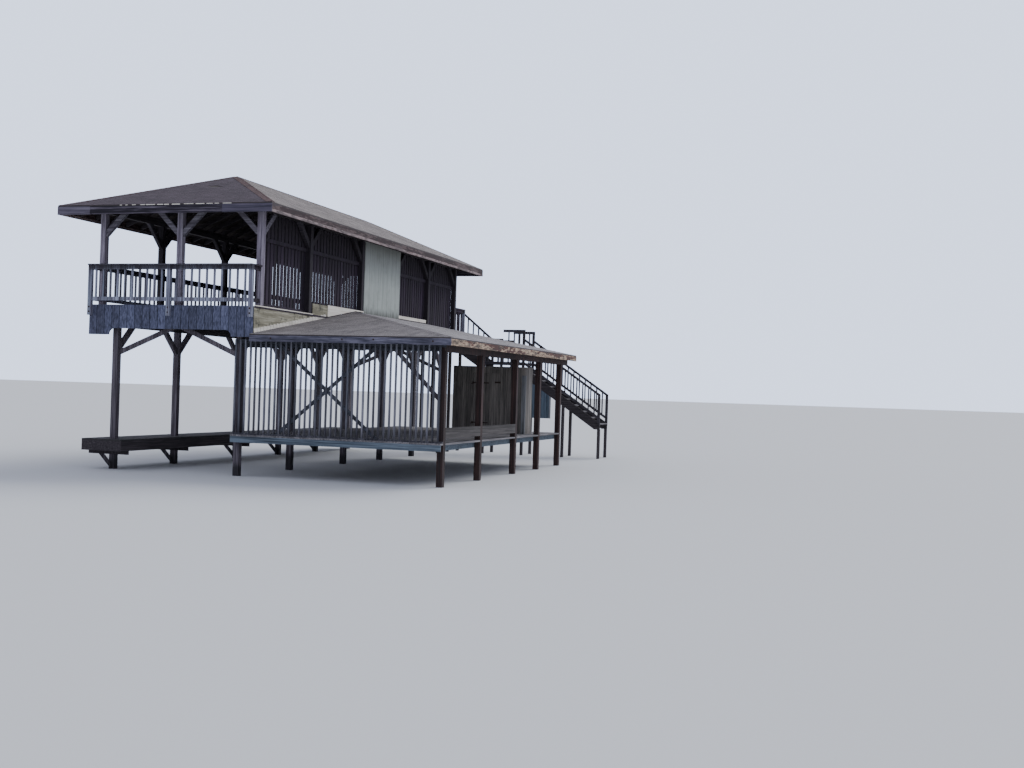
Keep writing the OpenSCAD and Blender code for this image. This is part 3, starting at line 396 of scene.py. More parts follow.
def painted_sheet(name, paint, worn, stain, along=2, dirty_below=None, eave_shade_above=None):
    """Painted sheet or board with dribbled dirt; where asked, splashed dirt near its foot and painted shade
    that darkens it towards its top.
    """
    material, tree, where = start_material(name)
    runs = streaks(tree, where, along, width=0.05, length=0.9, detail=5, rough=0.6)
    clouds = streaks(tree, where, 0, width=0.45, length=0.45, detail=5, rough=0.6)
    ridges = streaks(tree, where, along, width=RIDGE_WIDTH, length=0.3, detail=3)
    colour = stained(tree, linear(paint), runs, 0.40, 0.65, 1.0, worn)
    colour = stained(tree, colour, clouds, 0.52, 0.75, 0.5, stain)
    if dirty_below is not None:
        height = add_node(tree, "SeparateXYZ", {0: where})[2]
        edge = add_node(tree, "Math", {0: runs, 1: 0.5, 2: height}, operation="MULTIPLY_ADD")[0]
        colour = stained(tree, colour, edge, dirty_below + SPLASH_TOP, dirty_below + SPLASH_FULL, 0.8,
                         SPLASH)
        # painted shade under the eave: darker towards the top of the sheet
        colour = stained(tree, colour, height, eave_shade_above, eave_shade_above + EAVE_SHADE_RISE, 0.6, PAINTED_EAVE_SHADE)
    finish_surface(tree, colour, 0.7, ridges, 0.0006)
    return material


def mouldy_plywood():
    """Softwood plywood gone yellow, with mould in blots and long damp bands."""
    material, tree, where = start_material("mouldy_plywood")
    figure = streaks(tree, where, 1, width=0.05, length=0.8, detail=5, rough=0.6, swirl=1.2)
    blots = streaks(tree, where, 0, width=0.2, length=0.2, detail=6, rough=0.7)
    bands = streaks(tree, where, 1, width=0.16, length=2.5, detail=4, rough=0.6)
    yellowed = [(0.32, "77725F"), (0.50, "9F9A84"), (0.70, "C4C0AA")]
    wood = add_node(tree, "ValToRGB", {0: figure}, yellowed)["Color"]
    colour = stained(tree, wood, bands, 0.45, 0.62, 0.6, "66624C")
    colour = stained(tree, colour, blots, 0.52, 0.62, 0.75, "3A3B31")
    finish_surface(tree, colour, 0.85, figure, 0.0008)
    return material


def rusted_steel():
    """Galvanised steel that has lost its zinc."""
    material, tree, where = start_material("rusted_steel")
    crust = streaks(tree, where, 0, width=0.016, length=0.016, detail=4, rough=0.6)
    rust = [(0.35, "1E1614"), (0.55, "3C2A22"), (0.75, "6A4430")]
    colour = add_node(tree, "ValToRGB", {0: crust}, rust)["Color"]
    finish_surface(tree, colour, 0.75, crust, 0.0006, Metallic=0.35)
    return material


panel_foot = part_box("wall_panel")[0].z
# the panel's painted shade starts this far above its foot
EAVE_SHADE_START = panel_foot + 0.8
panel_paint = painted_sheet("green_white_grooved_sheet", "ABB3AB", "999F98", "7E8279",
                            dirty_below=panel_foot, eave_shade_above=EAVE_SHADE_START)
cream_paint = painted_sheet("cream_base_board", "F7F1E3", "DDD5C3", "ABA28F", along=1)
plywood = mouldy_plywood()
steel = rusted_steel()
step_metal = painted_sheet("cream_step_flashing", "F1ECDF", "D6CFBE", "7A7264", along=1)
eave_metal = painted_sheet("dark_drip_edge", "3A3233", "2C2527", "1C1718", along=0)
print(len(bpy.data.materials), "finishes in all")

# %% [markdown]
# ## Sawing boards out of a slab
# A deck, a skirt or a wall is one slab in the frame, with its notches, its arch and its doorway cut
# true. A carpenter lays boards there. So each row of boards is sawn from a merged copy of the slab:
# the bisect operator cuts along both edges of a board, the open cut is filled, and the board gets
# a chance shade. The joints between boards are real gaps, and no board leaves the slab's place.

# %% The saw
SKIN = 0.3 * MM         # a cut beside a face of the slab stays this far from it


def copy_of(node):
    """A merged copy of a node's mesh; the node's own mesh is left alone."""
    mesh = bmesh.new()
    mesh.from_mesh(nodes[node].data)
    bmesh.ops.remove_doubles(mesh, verts=mesh.verts, dist=0.02 * MM)
    return mesh


def saw(mesh, point, outwards):
    """Cuts off what lies beyond a plane, and closes the cut."""
    everything = mesh.verts[:] + mesh.edges[:] + mesh.faces[:]
    bmesh.ops.bisect_plane(mesh, geom=everything, dist=0.001 * MM, plane_co=point, plane_no=outwards,
                           clear_outer=True)
    bmesh.ops.holes_fill(mesh, edges=[e for e in mesh.edges if e.is_boundary], sides=0)


def sawn(mesh, axis, low=None, high=None):
    """A copy of the part of a mesh between two places along an axis."""
    part = mesh.copy()
    if high is not None:
        saw(part, axis * high, axis)
    if low is not None:
        saw(part, axis * low, -axis)
    return part


def reach(mesh, axis):
    """The lowest and highest place of a mesh along an axis."""
    along = [v.co.dot(axis) for v in mesh.verts]
    return min(along), max(along)


# %% [markdown]
# ## Rows of boards
# A row of boards could be one object for each, but hundreds of objects are slow to open and to
# export. So a row is one mesh, and each board's chance shade is stored on its points, where the
# material reads it. The places of the joints are shared out over the whole width, as a carpenter
# does to avoid a sliver at the end.

# %% Rows of boards
chance = random.Random(1987)
STAGGER = 0.37          # the end joints of a row shift by this share of a length from the row before


def new_row():
    """An empty mesh whose boards will each have a shade."""
    row = bmesh.new()
    row.verts.layers.float.new("tone")
    return row


def tint(row, verts, shade=None):
    """Gives the points of one board the same shade."""
    tone = row.verts.layers.float["tone"]
    shade = chance.random() if shade is None else shade
    for vertex in verts:
        vertex[tone] = shade


def add_board(row, board):
    """Adds a board to a row, with one shade for all of it."""
    sheet = bpy.data.meshes.new("board")
    board.to_mesh(sheet)
    board.free()
    before = len(row.verts)
    row.from_mesh(sheet)
    bpy.data.meshes.remove(sheet)
    row.verts.ensure_lookup_table()
    tint(row, row.verts[before:])


def add_plate(row, size, space, shade=None):
    """Adds a flat plate of this size, centred in the space that it is given."""
    made = bmesh.ops.create_cube(row, size=1, matrix=space @ Matrix.Diagonal((*size, 1)))
    tint(row, made["verts"], shade)


def joints_in(low, high, width):
    """Places that share a length out into equal boards of about that width."""
    count = max(1, round((high - low) / width))
    return [low + (high - low) * i / count for i in range(count + 1)]


def lay_boards(row, slab, axis, width, joint, sink=None, lengths=None):
    """Saws a slab into boards across an axis. Each may sink a little, and break into lengths."""
    places = joints_in(*reach(slab, axis), width)
    for i, (start, end) in enumerate(zip(places, places[1:])):
        board = sawn(slab, axis, start + joint / 2 if i else None,
                     end - joint / 2 if i < len(places) - 2 else None)
        if not board.verts:
            continue
        run, length = lengths or (axis, 1e3)
        first, last = reach(board, run)
        ends = [None] + joints_in(first - length * ((i * STAGGER) % 1), last, length)[1:-1] + [None]
        for this, following in zip(ends, ends[1:]):      # None keeps an end of the slab as it is
            piece = sawn(board, run, this and this + joint / 4, following and following - joint / 4)
            if piece.verts and sink:
                bmesh.ops.translate(piece, verts=piece.verts, vec=sink * chance.random())
            add_board(row, piece)
        board.free()


print("one metre in boards of about 0.15 m:", [round(place, 3) for place in joints_in(0, 1, 0.15)])

# %% [markdown]
# ## From mesh to piece
# A finished mesh becomes an object with a finish and the body that it rides on, and the nodes of the
# frame that it stands for are hidden. Its worn edges are a bevel modifier: rounded in the mesh itself,
# each board would have to be sawn first and rounded edge by edge.

# %% From mesh to piece
def make_piece(name, mesh, material, body="building", stands_for=(), bevel=0.0):
    """Turns a bmesh into a piece that rides on a body, and says how many faces it has."""
    bmesh.ops.dissolve_degenerate(mesh, edges=mesh.edges, dist=0.01 * MM)
    sheet = bpy.data.meshes.new(name)
    mesh.to_mesh(sheet)
    mesh.free()
    sheet.materials.append(material)
    piece = bpy.data.objects.new(name, sheet)
    bpy.context.scene.collection.objects.link(piece)
    if bevel:
        edge = piece.modifiers.new("worn_edges", "BEVEL")
        edge.width, edge.segments, edge.limit_method = bevel, 1, "ANGLE"
    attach(piece, body)
    if stands_for:
        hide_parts(*stands_for)
    print(name, len(sheet.polygons), "faces")
    return piece


# %% [markdown]
# ## Decks
# Deck boards are 140 mm wide with a 6 mm gap, and lie across whatever carries them: lengthwise on
# the joists of both large decks, and across the two edge boards of the narrow walkway. A material
# could draw the gaps, but a low view looks along them, so they are cut. Old boards cup and settle,
# so each is let down by up to 2 mm.

# %% Deck boards
DECK_BOARD = 0.146
DECK_GAP = 0.006
BOARD_LENGTH = 3.66
SETTLE = Vector((0, 0, -2 * MM))

for node, axis, lengths, finish in (("upper_deck", X, (Y, BOARD_LENGTH), deck_along),
                                    ("lower_deck", X, (Y, BOARD_LENGTH), deck_along),
                                    ("walkway_deck", Y, None, wet_walkway)):
    row, slab = new_row(), copy_of(node)
    lay_boards(row, slab, axis, DECK_BOARD, DECK_GAP, SETTLE, lengths)
    slab.free()
    make_piece(node + "_boards", row, finish, stands_for=(node,), bevel=3 * MM)

# %% [markdown]
# ## The arched skirt
# The skirt across the near end is siding with a groove every 203 mm. Its boards could be drawn one by
# one, but each would need a curved end of its own. So they are sawn from the slab that has the arch:
# the front becomes strips, each sunk by a hair, and a thin back stays whole behind the grooves, so that
# no light comes through. The back has the dark finish of the screen's frame: painted shade in the grooves.

# %% Skirt boards
SKIRT_STRIP = 0.203
SKIRT_GROOVE = 14 * MM
SKIRT_BACK = 8 * MM
SKIRT_AIR = 2 * MM
SKIRT_SINK = Vector((0, 1.5 * MM, 0))

row, slab = new_row(), copy_of("front_skirt")
back_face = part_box("front_skirt")[1].y - SKIRT_BACK
strips = sawn(slab, Y, None, back_face - SKIRT_AIR)
lay_boards(row, strips, X, SKIRT_STRIP, SKIRT_GROOVE, SKIRT_SINK)
make_piece("skirt_boards", row, skirt_boards, stands_for=("front_skirt",), bevel=2 * MM)
# the dark finish on the back is painted shade at the floor of the grooves
row = new_row()
add_board(row, sawn(slab, Y, back_face, None))
make_piece("skirt_back_painted_groove_shade", row, screen_frame, stands_for=("front_skirt",))
for used in (slab, strips):
    used.free()

# %% [markdown]
# ## The grooved panel
# The pale panel of the wall is sheet siding with a groove 10 mm wide every 305 mm. Dark lines in the
# material would do from straight in front, but this wall is seen at a slant, where a real groove
# hides its floor. So the outer 6 mm is sawn into strips, and the rest stays whole behind them.

# %% Grooved wall panel
GROOVE_PITCH = 0.305
GROOVE = 10 * MM
GROOVE_DEPTH = 6 * MM

row, slab = new_row(), copy_of("wall_panel")
groove_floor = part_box("wall_panel")[1].x - GROOVE_DEPTH
add_board(row, sawn(slab, X, None, groove_floor))
face = sawn(slab, X, groove_floor, None)
lay_boards(row, face, Y, GROOVE_PITCH, GROOVE)
for used in (slab, face):
    used.free()
make_piece("grooved_panel", row, panel_paint, stands_for=("wall_panel",))

# %% [markdown]
# ## Boards at the foot of the wall
# Four small boards finish the wall where it meets the deck and the low roof: a bare grey base board
# beside the cream one, a dark strip on the edge of the deck with a pale cream strip over it that is a
# painted highlight on that edge, and the foot of the panel, which hangs down to the shingles in front
# of the cream board. They have no shape but their size, so each is a cube stretched to its spans in
# depth, along the wall and in height.

# %% Boards at the foot of the wall
BARE_LENGTH, BARE_HEIGHT = 0.84, 0.28
BARE_END_GAP, BARE_FOOT_GAP = 3 * MM, 4 * MM
EDGE_HEIGHT, EDGE_THICK = 0.035, 12 * MM
NOSING_HEIGHT, NOSING_THICK = 0.024, 14 * MM
FOOT_HEIGHT, FOOT_THICK = 0.04, 1.5 * MM

panel_low, panel_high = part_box("wall_panel")
cream_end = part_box("wall_flashing")[0].y
rim_low, rim_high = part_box("bank_rim_panel")
deck_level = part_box("upper_deck")[1].z
bare_start = cream_end - BARE_LENGTH


def board_on_wall(row, depths, ends, heights):
    """Adds an upright board that fills these spans in depth, along the wall and in height."""
    spans = (depths, ends, heights)
    add_plate(row, [high - low for low, high in spans],
              Matrix.Translation([(low + high) / 2 for low, high in spans]))


row = new_row()
board_on_wall(row, (panel_low.x, panel_high.x), (bare_start, cream_end - BARE_END_GAP),
              (deck_level + BARE_FOOT_GAP, deck_level + BARE_HEIGHT))
make_piece("bare_base_board", row, plywood, bevel=1 * MM)
row = new_row()
board_on_wall(row, (panel_high.x, panel_high.x + EDGE_THICK), (rim_low.y, cream_end),
              (deck_level - EDGE_HEIGHT, deck_level))
make_piece("deck_edge_strip", row, wall_boards, bevel=1 * MM)
# a pale cream strip along the deck's edge: a painted highlight
row = new_row()
board_on_wall(row, (panel_high.x, panel_high.x + NOSING_THICK), (rim_low.y, bare_start),
              (deck_level + SKIN, deck_level + NOSING_HEIGHT))
make_piece("deck_edge_painted_highlight", row, cream_paint, bevel=1 * MM)
row = new_row()
board_on_wall(row, (panel_high.x + SKIN, panel_high.x + FOOT_THICK), (panel_low.y, panel_high.y),
              (panel_foot - FOOT_HEIGHT, panel_foot))
make_piece("panel_foot", row, panel_paint)

# %% [markdown]
# ## Closing boards of the wall
# The upright boards of the wall are spaced from the near end of each run, so an odd gap is left
# beside the last post. It could be shared out between all the boards, but a carpenter keeps one
# spacing and rips one narrower board to close the run. The count that spaces the row also gives the
# place where it ends, and the closing board fills what is left.

# %% Closing boards
WALL_BOARD = 0.120
POST = 0.140
CLOSING_GAP, POST_GAP = 6 * MM, 2 * MM
ROUNDING = 0.001        # keeps a count that comes out whole from falling one short

row = new_row()
near_run = (wall_low.y, panel_low.y - POST)
far_run = (panel_high.y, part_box("upper_posts")[1].y - POST)
for first, post_face in (near_run, far_run):
    last = math.floor((post_face - WALL_BOARD - first) / WALL_PITCH + ROUNDING)
    row_end = first + last * WALL_PITCH + WALL_BOARD
    board_on_wall(row, (wall_low.x, wall_high.x), (row_end + CLOSING_GAP, post_face - POST_GAP),
                  (wall_low.z, wall_high.z))
make_piece("wall_closing_boards", row, wall_boards, bevel=1 * MM)

# %% [markdown]
# ## The panel under the stair
# Narrow boards close one side under the stair, with a pale trim board at their edge. The frame has
# them as one slab. They could be built again from plates, but their slanted tops follow the stair,
# so they are sawn too: one cut frees the trim, and the others part the boards.

# %% Panel under the stair
STAIR_BOARD = 0.155
STAIR_JOINT = 4 * MM
STAIR_BOARD_THICK = 0.025

slab = copy_of("stair_panel")
board_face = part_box("stair_panel")[1].y - STAIR_BOARD_THICK
row, boards = new_row(), sawn(slab, Y, board_face + SKIN, None)
lay_boards(row, boards, X, STAIR_BOARD, STAIR_JOINT)
make_piece("stair_panel_boards", row, stair_boards, stands_for=("stair_panel",))
row = new_row()
add_board(row, sawn(slab, Y, None, board_face - SKIN))
make_piece("stair_panel_trim", row, trim_boards)
for used in (slab, boards):
    used.free()

# %% [markdown]
# ## The storage closet
# Its walls and door are slabs in the frame. The outer 14 mm of each becomes upright boards, and the
# rest stays as a core behind them. The hinge straps, the pins and the hasp stand in front of the
# boards, so one more cut frees them, and they get the steel. What belongs to the door rides on the
# door's own body; boards that were one piece with the wall's would stay behind when it opens.

# %% Closet walls, door and irons
CLADDING = 14 * MM
CLOSET_BOARD = 0.135
CLOSET_JOINT = 5 * MM
wall_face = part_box("storage_header")[0].y

for node, body, slot, irons in (("storage_front_wall", "building", "store_boards", "hinge_pins"),
                                ("storage_header", "building", "store_boards", None),
                                ("storage_door", "storage_door_leaf", "door", "door_irons")):
    slab = copy_of(node)
    row, cladding = new_row(), sawn(slab, Y, wall_face + SKIN, wall_face + CLADDING)
    add_board(row, sawn(slab, Y, wall_face + CLADDING + SKIN, None))
    lay_boards(row, cladding, X, CLOSET_BOARD, CLOSET_JOINT)
    cladding.free()
    make_piece(node + "_boards", row, store_boards, body, (node,))
    if irons:
        row = new_row()
        add_board(row, sawn(slab, Y, None, wall_face - SKIN))
        make_piece(irons, row, steel, body)
    slab.free()

# %% Closet side and back walls
side_walls = copy_of("storage_side_walls")
between = sum(reach(side_walls, X)) / 2
walls = (("storage_side_walls", "slip_side", sawn(side_walls, X, None, between), X, -1),
         ("storage_side_walls", "bank_side", sawn(side_walls, X, between, None), X, 1),
         ("storage_back_wall", "bank_side", copy_of("storage_back_wall"), Y, 1))

for node, place, wall, axis, side in walls:
    board_back = reach(wall, axis)[side > 0] - side * CLADDING
    core_face = board_back - side * SKIN
    boards_cut, core_cut = (board_back, None), (None, core_face)
    if side < 0:
        boards_cut, core_cut = boards_cut[::-1], core_cut[::-1]
    row, cladding = new_row(), sawn(wall, axis, *boards_cut)
    add_board(row, sawn(wall, axis, *core_cut))
    lay_boards(row, cladding, Y if axis is X else X, CLOSET_BOARD, CLOSET_JOINT)
    for used in (wall, cladding):
        used.free()
    make_piece(f"{node}_{place}_boards", row, store_boards, stands_for=(node,))
side_walls.free()

# %% [markdown]
# ## The closet's corner
# Where the boards of two walls meet, their ends would show. A carpenter covers the corner on the bank
# side with two pale trim boards, one lapped over the other's edge. Two plates are enough for that,
# and a small bevel gives them an edge that catches the light.

# %% Corner trim
TRIM_WIDTH, TRIM_THICK, TRIM_LENGTH = 0.090, 0.018, 1.60

corner_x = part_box("storage_front_wall")[1].x
trim_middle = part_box("storage_front_wall")[0].z + TRIM_LENGTH / 2
front_place = Vector((corner_x - TRIM_WIDTH / 2, wall_face - TRIM_THICK / 2, trim_middle))
side_place = Vector((corner_x + TRIM_THICK / 2, wall_face + TRIM_WIDTH / 2 - TRIM_THICK, trim_middle))
row = new_row()
add_plate(row, (TRIM_WIDTH, TRIM_THICK, TRIM_LENGTH), Matrix.Translation(front_place))
add_plate(row, (TRIM_THICK, TRIM_WIDTH, TRIM_LENGTH), Matrix.Translation(side_place))
make_piece("closet_corner_trim", row, trim_boards, bevel=2 * MM)

# %% [markdown]
# ## Slat screen and rims
# The screen is one node: slats in front, and behind them a rail, crossed braces and a header. A
# material could change colour at a depth, but one cut at the back of the slats is simpler: they get
# their pale blue-grey, and the rest stays dark. The deck's frame is parted in the same way at the
# level of the boards: the pale rim lies below, and the dark kerb boards between the bank posts stand
# above.

# %% Slats, screen frame, rim and kerbs
slab = copy_of("slat_screen")
slat_back = slat_low.y + SLAT - SKIN
for name, cut, finish in (("screen_slats", (None, slat_back), slat_pine),
                          ("screen_frame", (slat_back, None), screen_frame)):
    row = new_row()
    add_board(row, sawn(slab, Y, *cut))
    make_piece(name, row, finish, stands_for=("slat_screen",))
slab.free()

slab = copy_of("lower_deck_frame")
boards_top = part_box("lower_deck")[1].z
for name, cut, finish in (("lower_deck_rim", (None, boards_top - SKIN), rim_boards),
                          ("bank_kerbs", (boards_top + SKIN, None), kerb_boards)):
    row = new_row()
    add_board(row, sawn(slab, Z, *cut))
    make_piece(name, row, finish, stands_for=("lower_deck_frame",))
slab.free()

# %% [markdown]
# ## Fascia boards
# The near fascia of the upper roof is three lengths of board that have aged apart: a silvered one at
# the lake corner, a dark stained one in the middle and a blue-grey one at the bank corner. Along the
# bank side the upper roof's fascia is two strips, a dark red trim over a wider board whose paint has
# peeled. One board with a colour that changes would have no joint, so the lengths are sawn where the
# real ones meet.

# %% Fascias
JOINT = 1.5 * MM
NEAR_JOINTS = (-4.00, -0.54)
FAR_JOINTS = (-3.2, -0.3)
LOW_NEAR_JOINTS = (2.46,)
LOW_BANK_JOINTS = (-3.9, -0.3)
TRIM_DEPTH = 0.115


def board_lengths(name, node, slab, axis, places, finishes):
    """Cuts a fascia at places along an axis, and gives each length its own finish."""
    starts = [None] + [place + JOINT for place in places]
    ends = [place - JOINT for place in places] + [None]
    for i, finish in enumerate(finishes):
        row = new_row()
        add_board(row, sawn(slab, axis, starts[i], ends[i]))
        make_piece(f"{name}_{i + 1}", row, finish, stands_for=(node,), bevel=2 * MM)
    slab.free()


both_ends = copy_of("end_fascias")
middle_y = sum(reach(both_ends, Y)) / 2
board_lengths("near_fascia", "end_fascias", sawn(both_ends, Y, None, middle_y), X, NEAR_JOINTS,
              [silver_fascia, stained_fascia, blue_fascia])
board_lengths("far_fascia", "end_fascias", sawn(both_ends, Y, middle_y, None), X, FAR_JOINTS,
              [stained_fascia, blue_fascia, stained_fascia])
both_ends.free()

board_lengths("side_fascia", "side_fascias", copy_of("side_fascias"), Z, [high_fascia[1].z - TRIM_DEPTH],
              [high_fascia_paint, high_trim_paint])
board_lengths("low_near_fascia", "leanto_near_fascia", copy_of("leanto_near_fascia"), X,
              LOW_NEAR_JOINTS, [low_fascia] * 2)
board_lengths("low_bank_fascia", "leanto_bank_fascia", copy_of("leanto_bank_fascia"), Y,
              LOW_BANK_JOINTS, [low_fascia_paint] * 3)

# %% [markdown]
# ## Roof sheathing
# In the frame each roof is one thick shell, whose top is the top of the shingles. New sheets could be
# drawn for the plywood under them, but a copy of the shell already meets at the hips. Its top faces
# are let down, and its edges are sawn back a little, so the shingles and their caps fit in the room
# that this leaves and never reach past the shell.

# %% Sheathing
DROP = 0.022
EDGE_BACK = 0.006

for node, open_sides in (("roof", (-X, X, -Y, Y)), ("leanto_roof", (X, -Y, Y))):
    slab = copy_of(node)
    low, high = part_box(node)
    top = {v for f in slab.faces if f.normal.z > 0.5 for v in f.verts}
    bmesh.ops.translate(slab, verts=list(top), vec=-Z * DROP)
    for side in open_sides:
        corner = high if side.dot(X + Y + Z) > 0 else low
        saw(slab, corner - side * EDGE_BACK, side)
    row = new_row()
    add_board(row, slab)
    make_piece(node + "_sheathing", row, sheathing, stands_for=(node,))

# %% [markdown]
# ## Shingles
# Each slope gets real tabs, 305 mm wide with a slot between them, in courses 127 mm apart. A bump map
# is lighter, but the courses show as steps along the hips and the eaves, which only real tabs give.
# A tab is a thin plate that rests on the course below, so its lower edge stands 5 mm up and its head
# lies on the plywood. A slope has its own space, with X along the eave, Y up the slope and Z out of
# it. The tabs are laid out in that space past the edges of the slope, and then sawn along the hips,
# the ridge and the wall as a roofer does with a knife.

# %% Shingle helpers
TAB = 0.305
SLOT = 0.009
EXPOSED = 0.127
HEAD = 0.020
PLATE = 4 * MM
LIFT = 4.8 * MM
CUT_BACK = 4 * MM
TAB_RISE = 0.4 * MM      # tabs lie uneven by this much, out of the slope
TAB_SLIP = 1.5 * MM      # and by this much along it
COURSE_SLIP = 0.04       # share of a tab


def slope_space(corner, eave_end, top):
    """The space of a roof slope, whose eave runs anticlockwise seen from above."""
    along = (eave_end - corner).normalized()
    out = along.cross(top - corner).normalized()
    return Matrix.Translation(corner) @ Matrix((along, out.cross(along), out)).transposed().to_4x4()


def lay_shingles(name, corner, eave_end, right_top, left_top, material, lost=()):
    """Covers a slope, given by its corners from above, with tabs; those near a lost place are left out."""
    drop = Vector((0, 0, -DROP))
    space = slope_space(corner + drop, eave_end + drop, left_top + drop)
    width = (eave_end - corner).length
    height = (space.inverted() @ (left_top + drop)).y
    tilt = Matrix.Rotation(-math.asin(LIFT / (EXPOSED + HEAD)), 4, "X")
    row = new_row()
    to_middle = Matrix.Translation((0, (EXPOSED + HEAD) / 2, PLATE / 2))
    starter = Matrix.Translation((width / 2, EDGE_BACK + EXPOSED / 2, PLATE / 2))
    add_plate(row, (width, EXPOSED, PLATE), space @ starter)
    for course in range(math.ceil(height / EXPOSED)):
        first = -TAB * (0.5 * (course % 2) + COURSE_SLIP * chance.random())
        for tab in range(math.ceil(width / TAB) + 1):
            lower_edge = EDGE_BACK + course * EXPOSED
            place = Vector((first + (tab + 0.5) * TAB, lower_edge, LIFT + TAB_RISE * chance.random()))
            place.y += TAB_SLIP * chance.random() if course else 0
            shade = chance.random()
            if any((space @ place - Vector(spot)).length < TAB / 2 for spot in lost):
                continue
            plate = Matrix.Translation(place) @ tilt @ to_middle
            add_plate(row, (TAB - SLOT, EXPOSED + HEAD, PLATE), space @ plate, shade)
    for a, b in ((left_top, corner), (eave_end, right_top), (right_top, left_top)):
        if (a - b).length > MM:
            outwards = (b - a).cross(Z).normalized()
            saw(row, a - outwards * CUT_BACK, outwards)
    return make_piece(name, row, material)


# %% Shingles of the upper roof
ROOF_THICK = 0.045
HIP_RUN = 3.21
LOST_TAB = (-1.87, -5.95, 6.81)

roof_low, roof_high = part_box("roof")
eave = roof_low.z + ROOF_THICK
middle = (roof_low.x + roof_high.x) / 2
lake_near, bank_near = Vector((roof_low.x, roof_low.y, eave)), Vector((roof_high.x, roof_low.y, eave))
bank_far, lake_far = Vector((roof_high.x, roof_high.y, eave)), Vector((roof_low.x, roof_high.y, eave))
near_top = Vector((middle, roof_low.y + HIP_RUN, roof_high.z))
far_top = Vector((middle, roof_high.y - HIP_RUN, roof_high.z))

for name, eave_start, eave_end, right_top, left_top, finish, lost in (
        ("near", lake_near, bank_near, near_top, near_top, near_shingle_painted_shade, (LOST_TAB,)),
        ("bank", bank_near, bank_far, far_top, near_top, long_shingle_painted_light, ()),
        ("far", bank_far, lake_far, far_top, far_top, near_shingle_painted_shade, ()),
        ("lake", lake_far, lake_near, near_top, far_top, long_shingle_painted_light, ())):
    lay_shingles(name + "_slope_shingles", eave_start, eave_end, right_top, left_top, finish,
                 lost)

# %% Shingles of the lean-to
LEAN_HIP = 5.54
LEAN_FALL = 0.88
LEAN_WIDTH = 4.82

lean_low, lean_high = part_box("leanto_roof")
low_eave = lean_low.z + ROOF_THICK
inside = (lean_high.x - lean_low.x) / LEAN_WIDTH
wall_corner = Vector((lean_low.x, lean_low.y, low_eave))
near_corner = Vector((lean_high.x, lean_low.y, low_eave))
far_corner = Vector((lean_high.x, lean_high.y, low_eave))
hip_top = near_corner + Vector((-LEAN_WIDTH, LEAN_HIP, LEAN_FALL)) * inside
wall_far = Vector((lean_low.x, lean_high.y, hip_top.z))

lay_shingles("low_near_slope_shingles", wall_corner, near_corner, hip_top, hip_top, low_near_shingle_painted_shade)
lay_shingles("low_long_slope_shingles", near_corner, far_corner, wall_far, hip_top, low_long_shingle_painted_light)

# %% [markdown]
# ## Hip and ridge caps
# A single tab is folded over each hip and over the ridge, one after another from the foot up. It could
# be two plates, but they would gape along the fold. So each cap starts as a grid of two squares: its
# middle line lies on the hip, and its two wings follow the slopes on either side. Solidify then gives
# it the thickness of a shingle.

# %% Cap helpers
CAP_WING = 0.115


def trim_to_eaves(row, low, high, sides):
    """Saws a row of caps off along the eaves of its roof."""
    for side in sides:
        corner = high if side.dot(X + Y + Z) > 0 else low
        saw(row, corner - side * EDGE_BACK / 2, side)


def lay_caps(row, foot, head, down_left, down_right):
    """Folds a row of caps over a hip or ridge, from its foot up to its head."""
    uphill = (head - foot).normalized()
    wings = [(side - uphill * side.dot(uphill)).normalized() * CAP_WING for side in (down_left, down_right)]
    out = -(wings[0] + wings[1]).normalized()
    for i in range(math.floor((head - foot).length / EXPOSED)):
        made = bmesh.ops.create_grid(row, x_segments=2, y_segments=1, size=1)
        for vertex in made["verts"]:
            side, run = vertex.co.x, (vertex.co.y + 1) / 2
            start = foot + uphill * (i * EXPOSED + run * (EXPOSED + HEAD))
            vertex.co = start + wings[side > 0] * abs(side) + out * (LIFT * (1 - run))
        tint(row, made["verts"])
        faces = list({f for v in made["verts"] for f in v.link_faces})
        bmesh.ops.solidify(row, geom=faces, thickness=PLATE)


# %% Caps
CAP_SEAT = 10.5 * MM     # a cap lies on the tabs, this far above the plywood
CAP_START = 0.03
SEAT = Vector((0, 0, -DROP + CAP_SEAT))


def up_slope(corner, eave_end, top):
    """The direction straight up a slope."""
    return slope_space(corner, eave_end, top).col[1].xyz


rise = {"near": up_slope(lake_near, bank_near, near_top), "far": up_slope(bank_far, lake_far, far_top),
        "bank": up_slope(bank_near, bank_far, near_top), "lake": up_slope(lake_far, lake_near, far_top),
        "low_near": up_slope(wall_corner, near_corner, hip_top),
        "low_long": up_slope(near_corner, far_corner, wall_far)}

row = new_row()
for foot, head, left, other in ((lake_near, near_top, "lake", "near"),
                                (bank_near, near_top, "near", "bank"),
                                (bank_far, far_top, "bank", "far"),
                                (lake_far, far_top, "far", "lake"),
                                (near_top, far_top, "lake", "bank")):
    start = foot + (head - foot).normalized() * CAP_START
    lay_caps(row, start + SEAT, head + SEAT, -rise[left], -rise[other])
bmesh.ops.recalc_face_normals(row, faces=row.faces)
trim_to_eaves(row, roof_low, roof_high, (-X, X, -Y, Y))
make_piece("hip_and_ridge_caps", row, cap_shingle)

row = new_row()
start = near_corner + (hip_top - near_corner).normalized() * CAP_START
lay_caps(row, start + SEAT, hip_top + SEAT, -rise["low_near"], -rise["low_long"])
bmesh.ops.recalc_face_normals(row, faces=row.faces)
trim_to_eaves(row, lean_low, lean_high, (X, -Y))
make_piece("low_hip_caps", row, low_near_shingle_painted_shade)

# %% [markdown]
# ## Drip edges
# A strip of bent metal closes the edge of the plywood along each eave. It could be one profile swept
# round the roof, but only its face shows under the shingles, so each eave gets one thin plate. The
# near one once had a pale coat, which is left in flakes only: short plates of chance length and depth
# that stand a little in front of the dark metal.

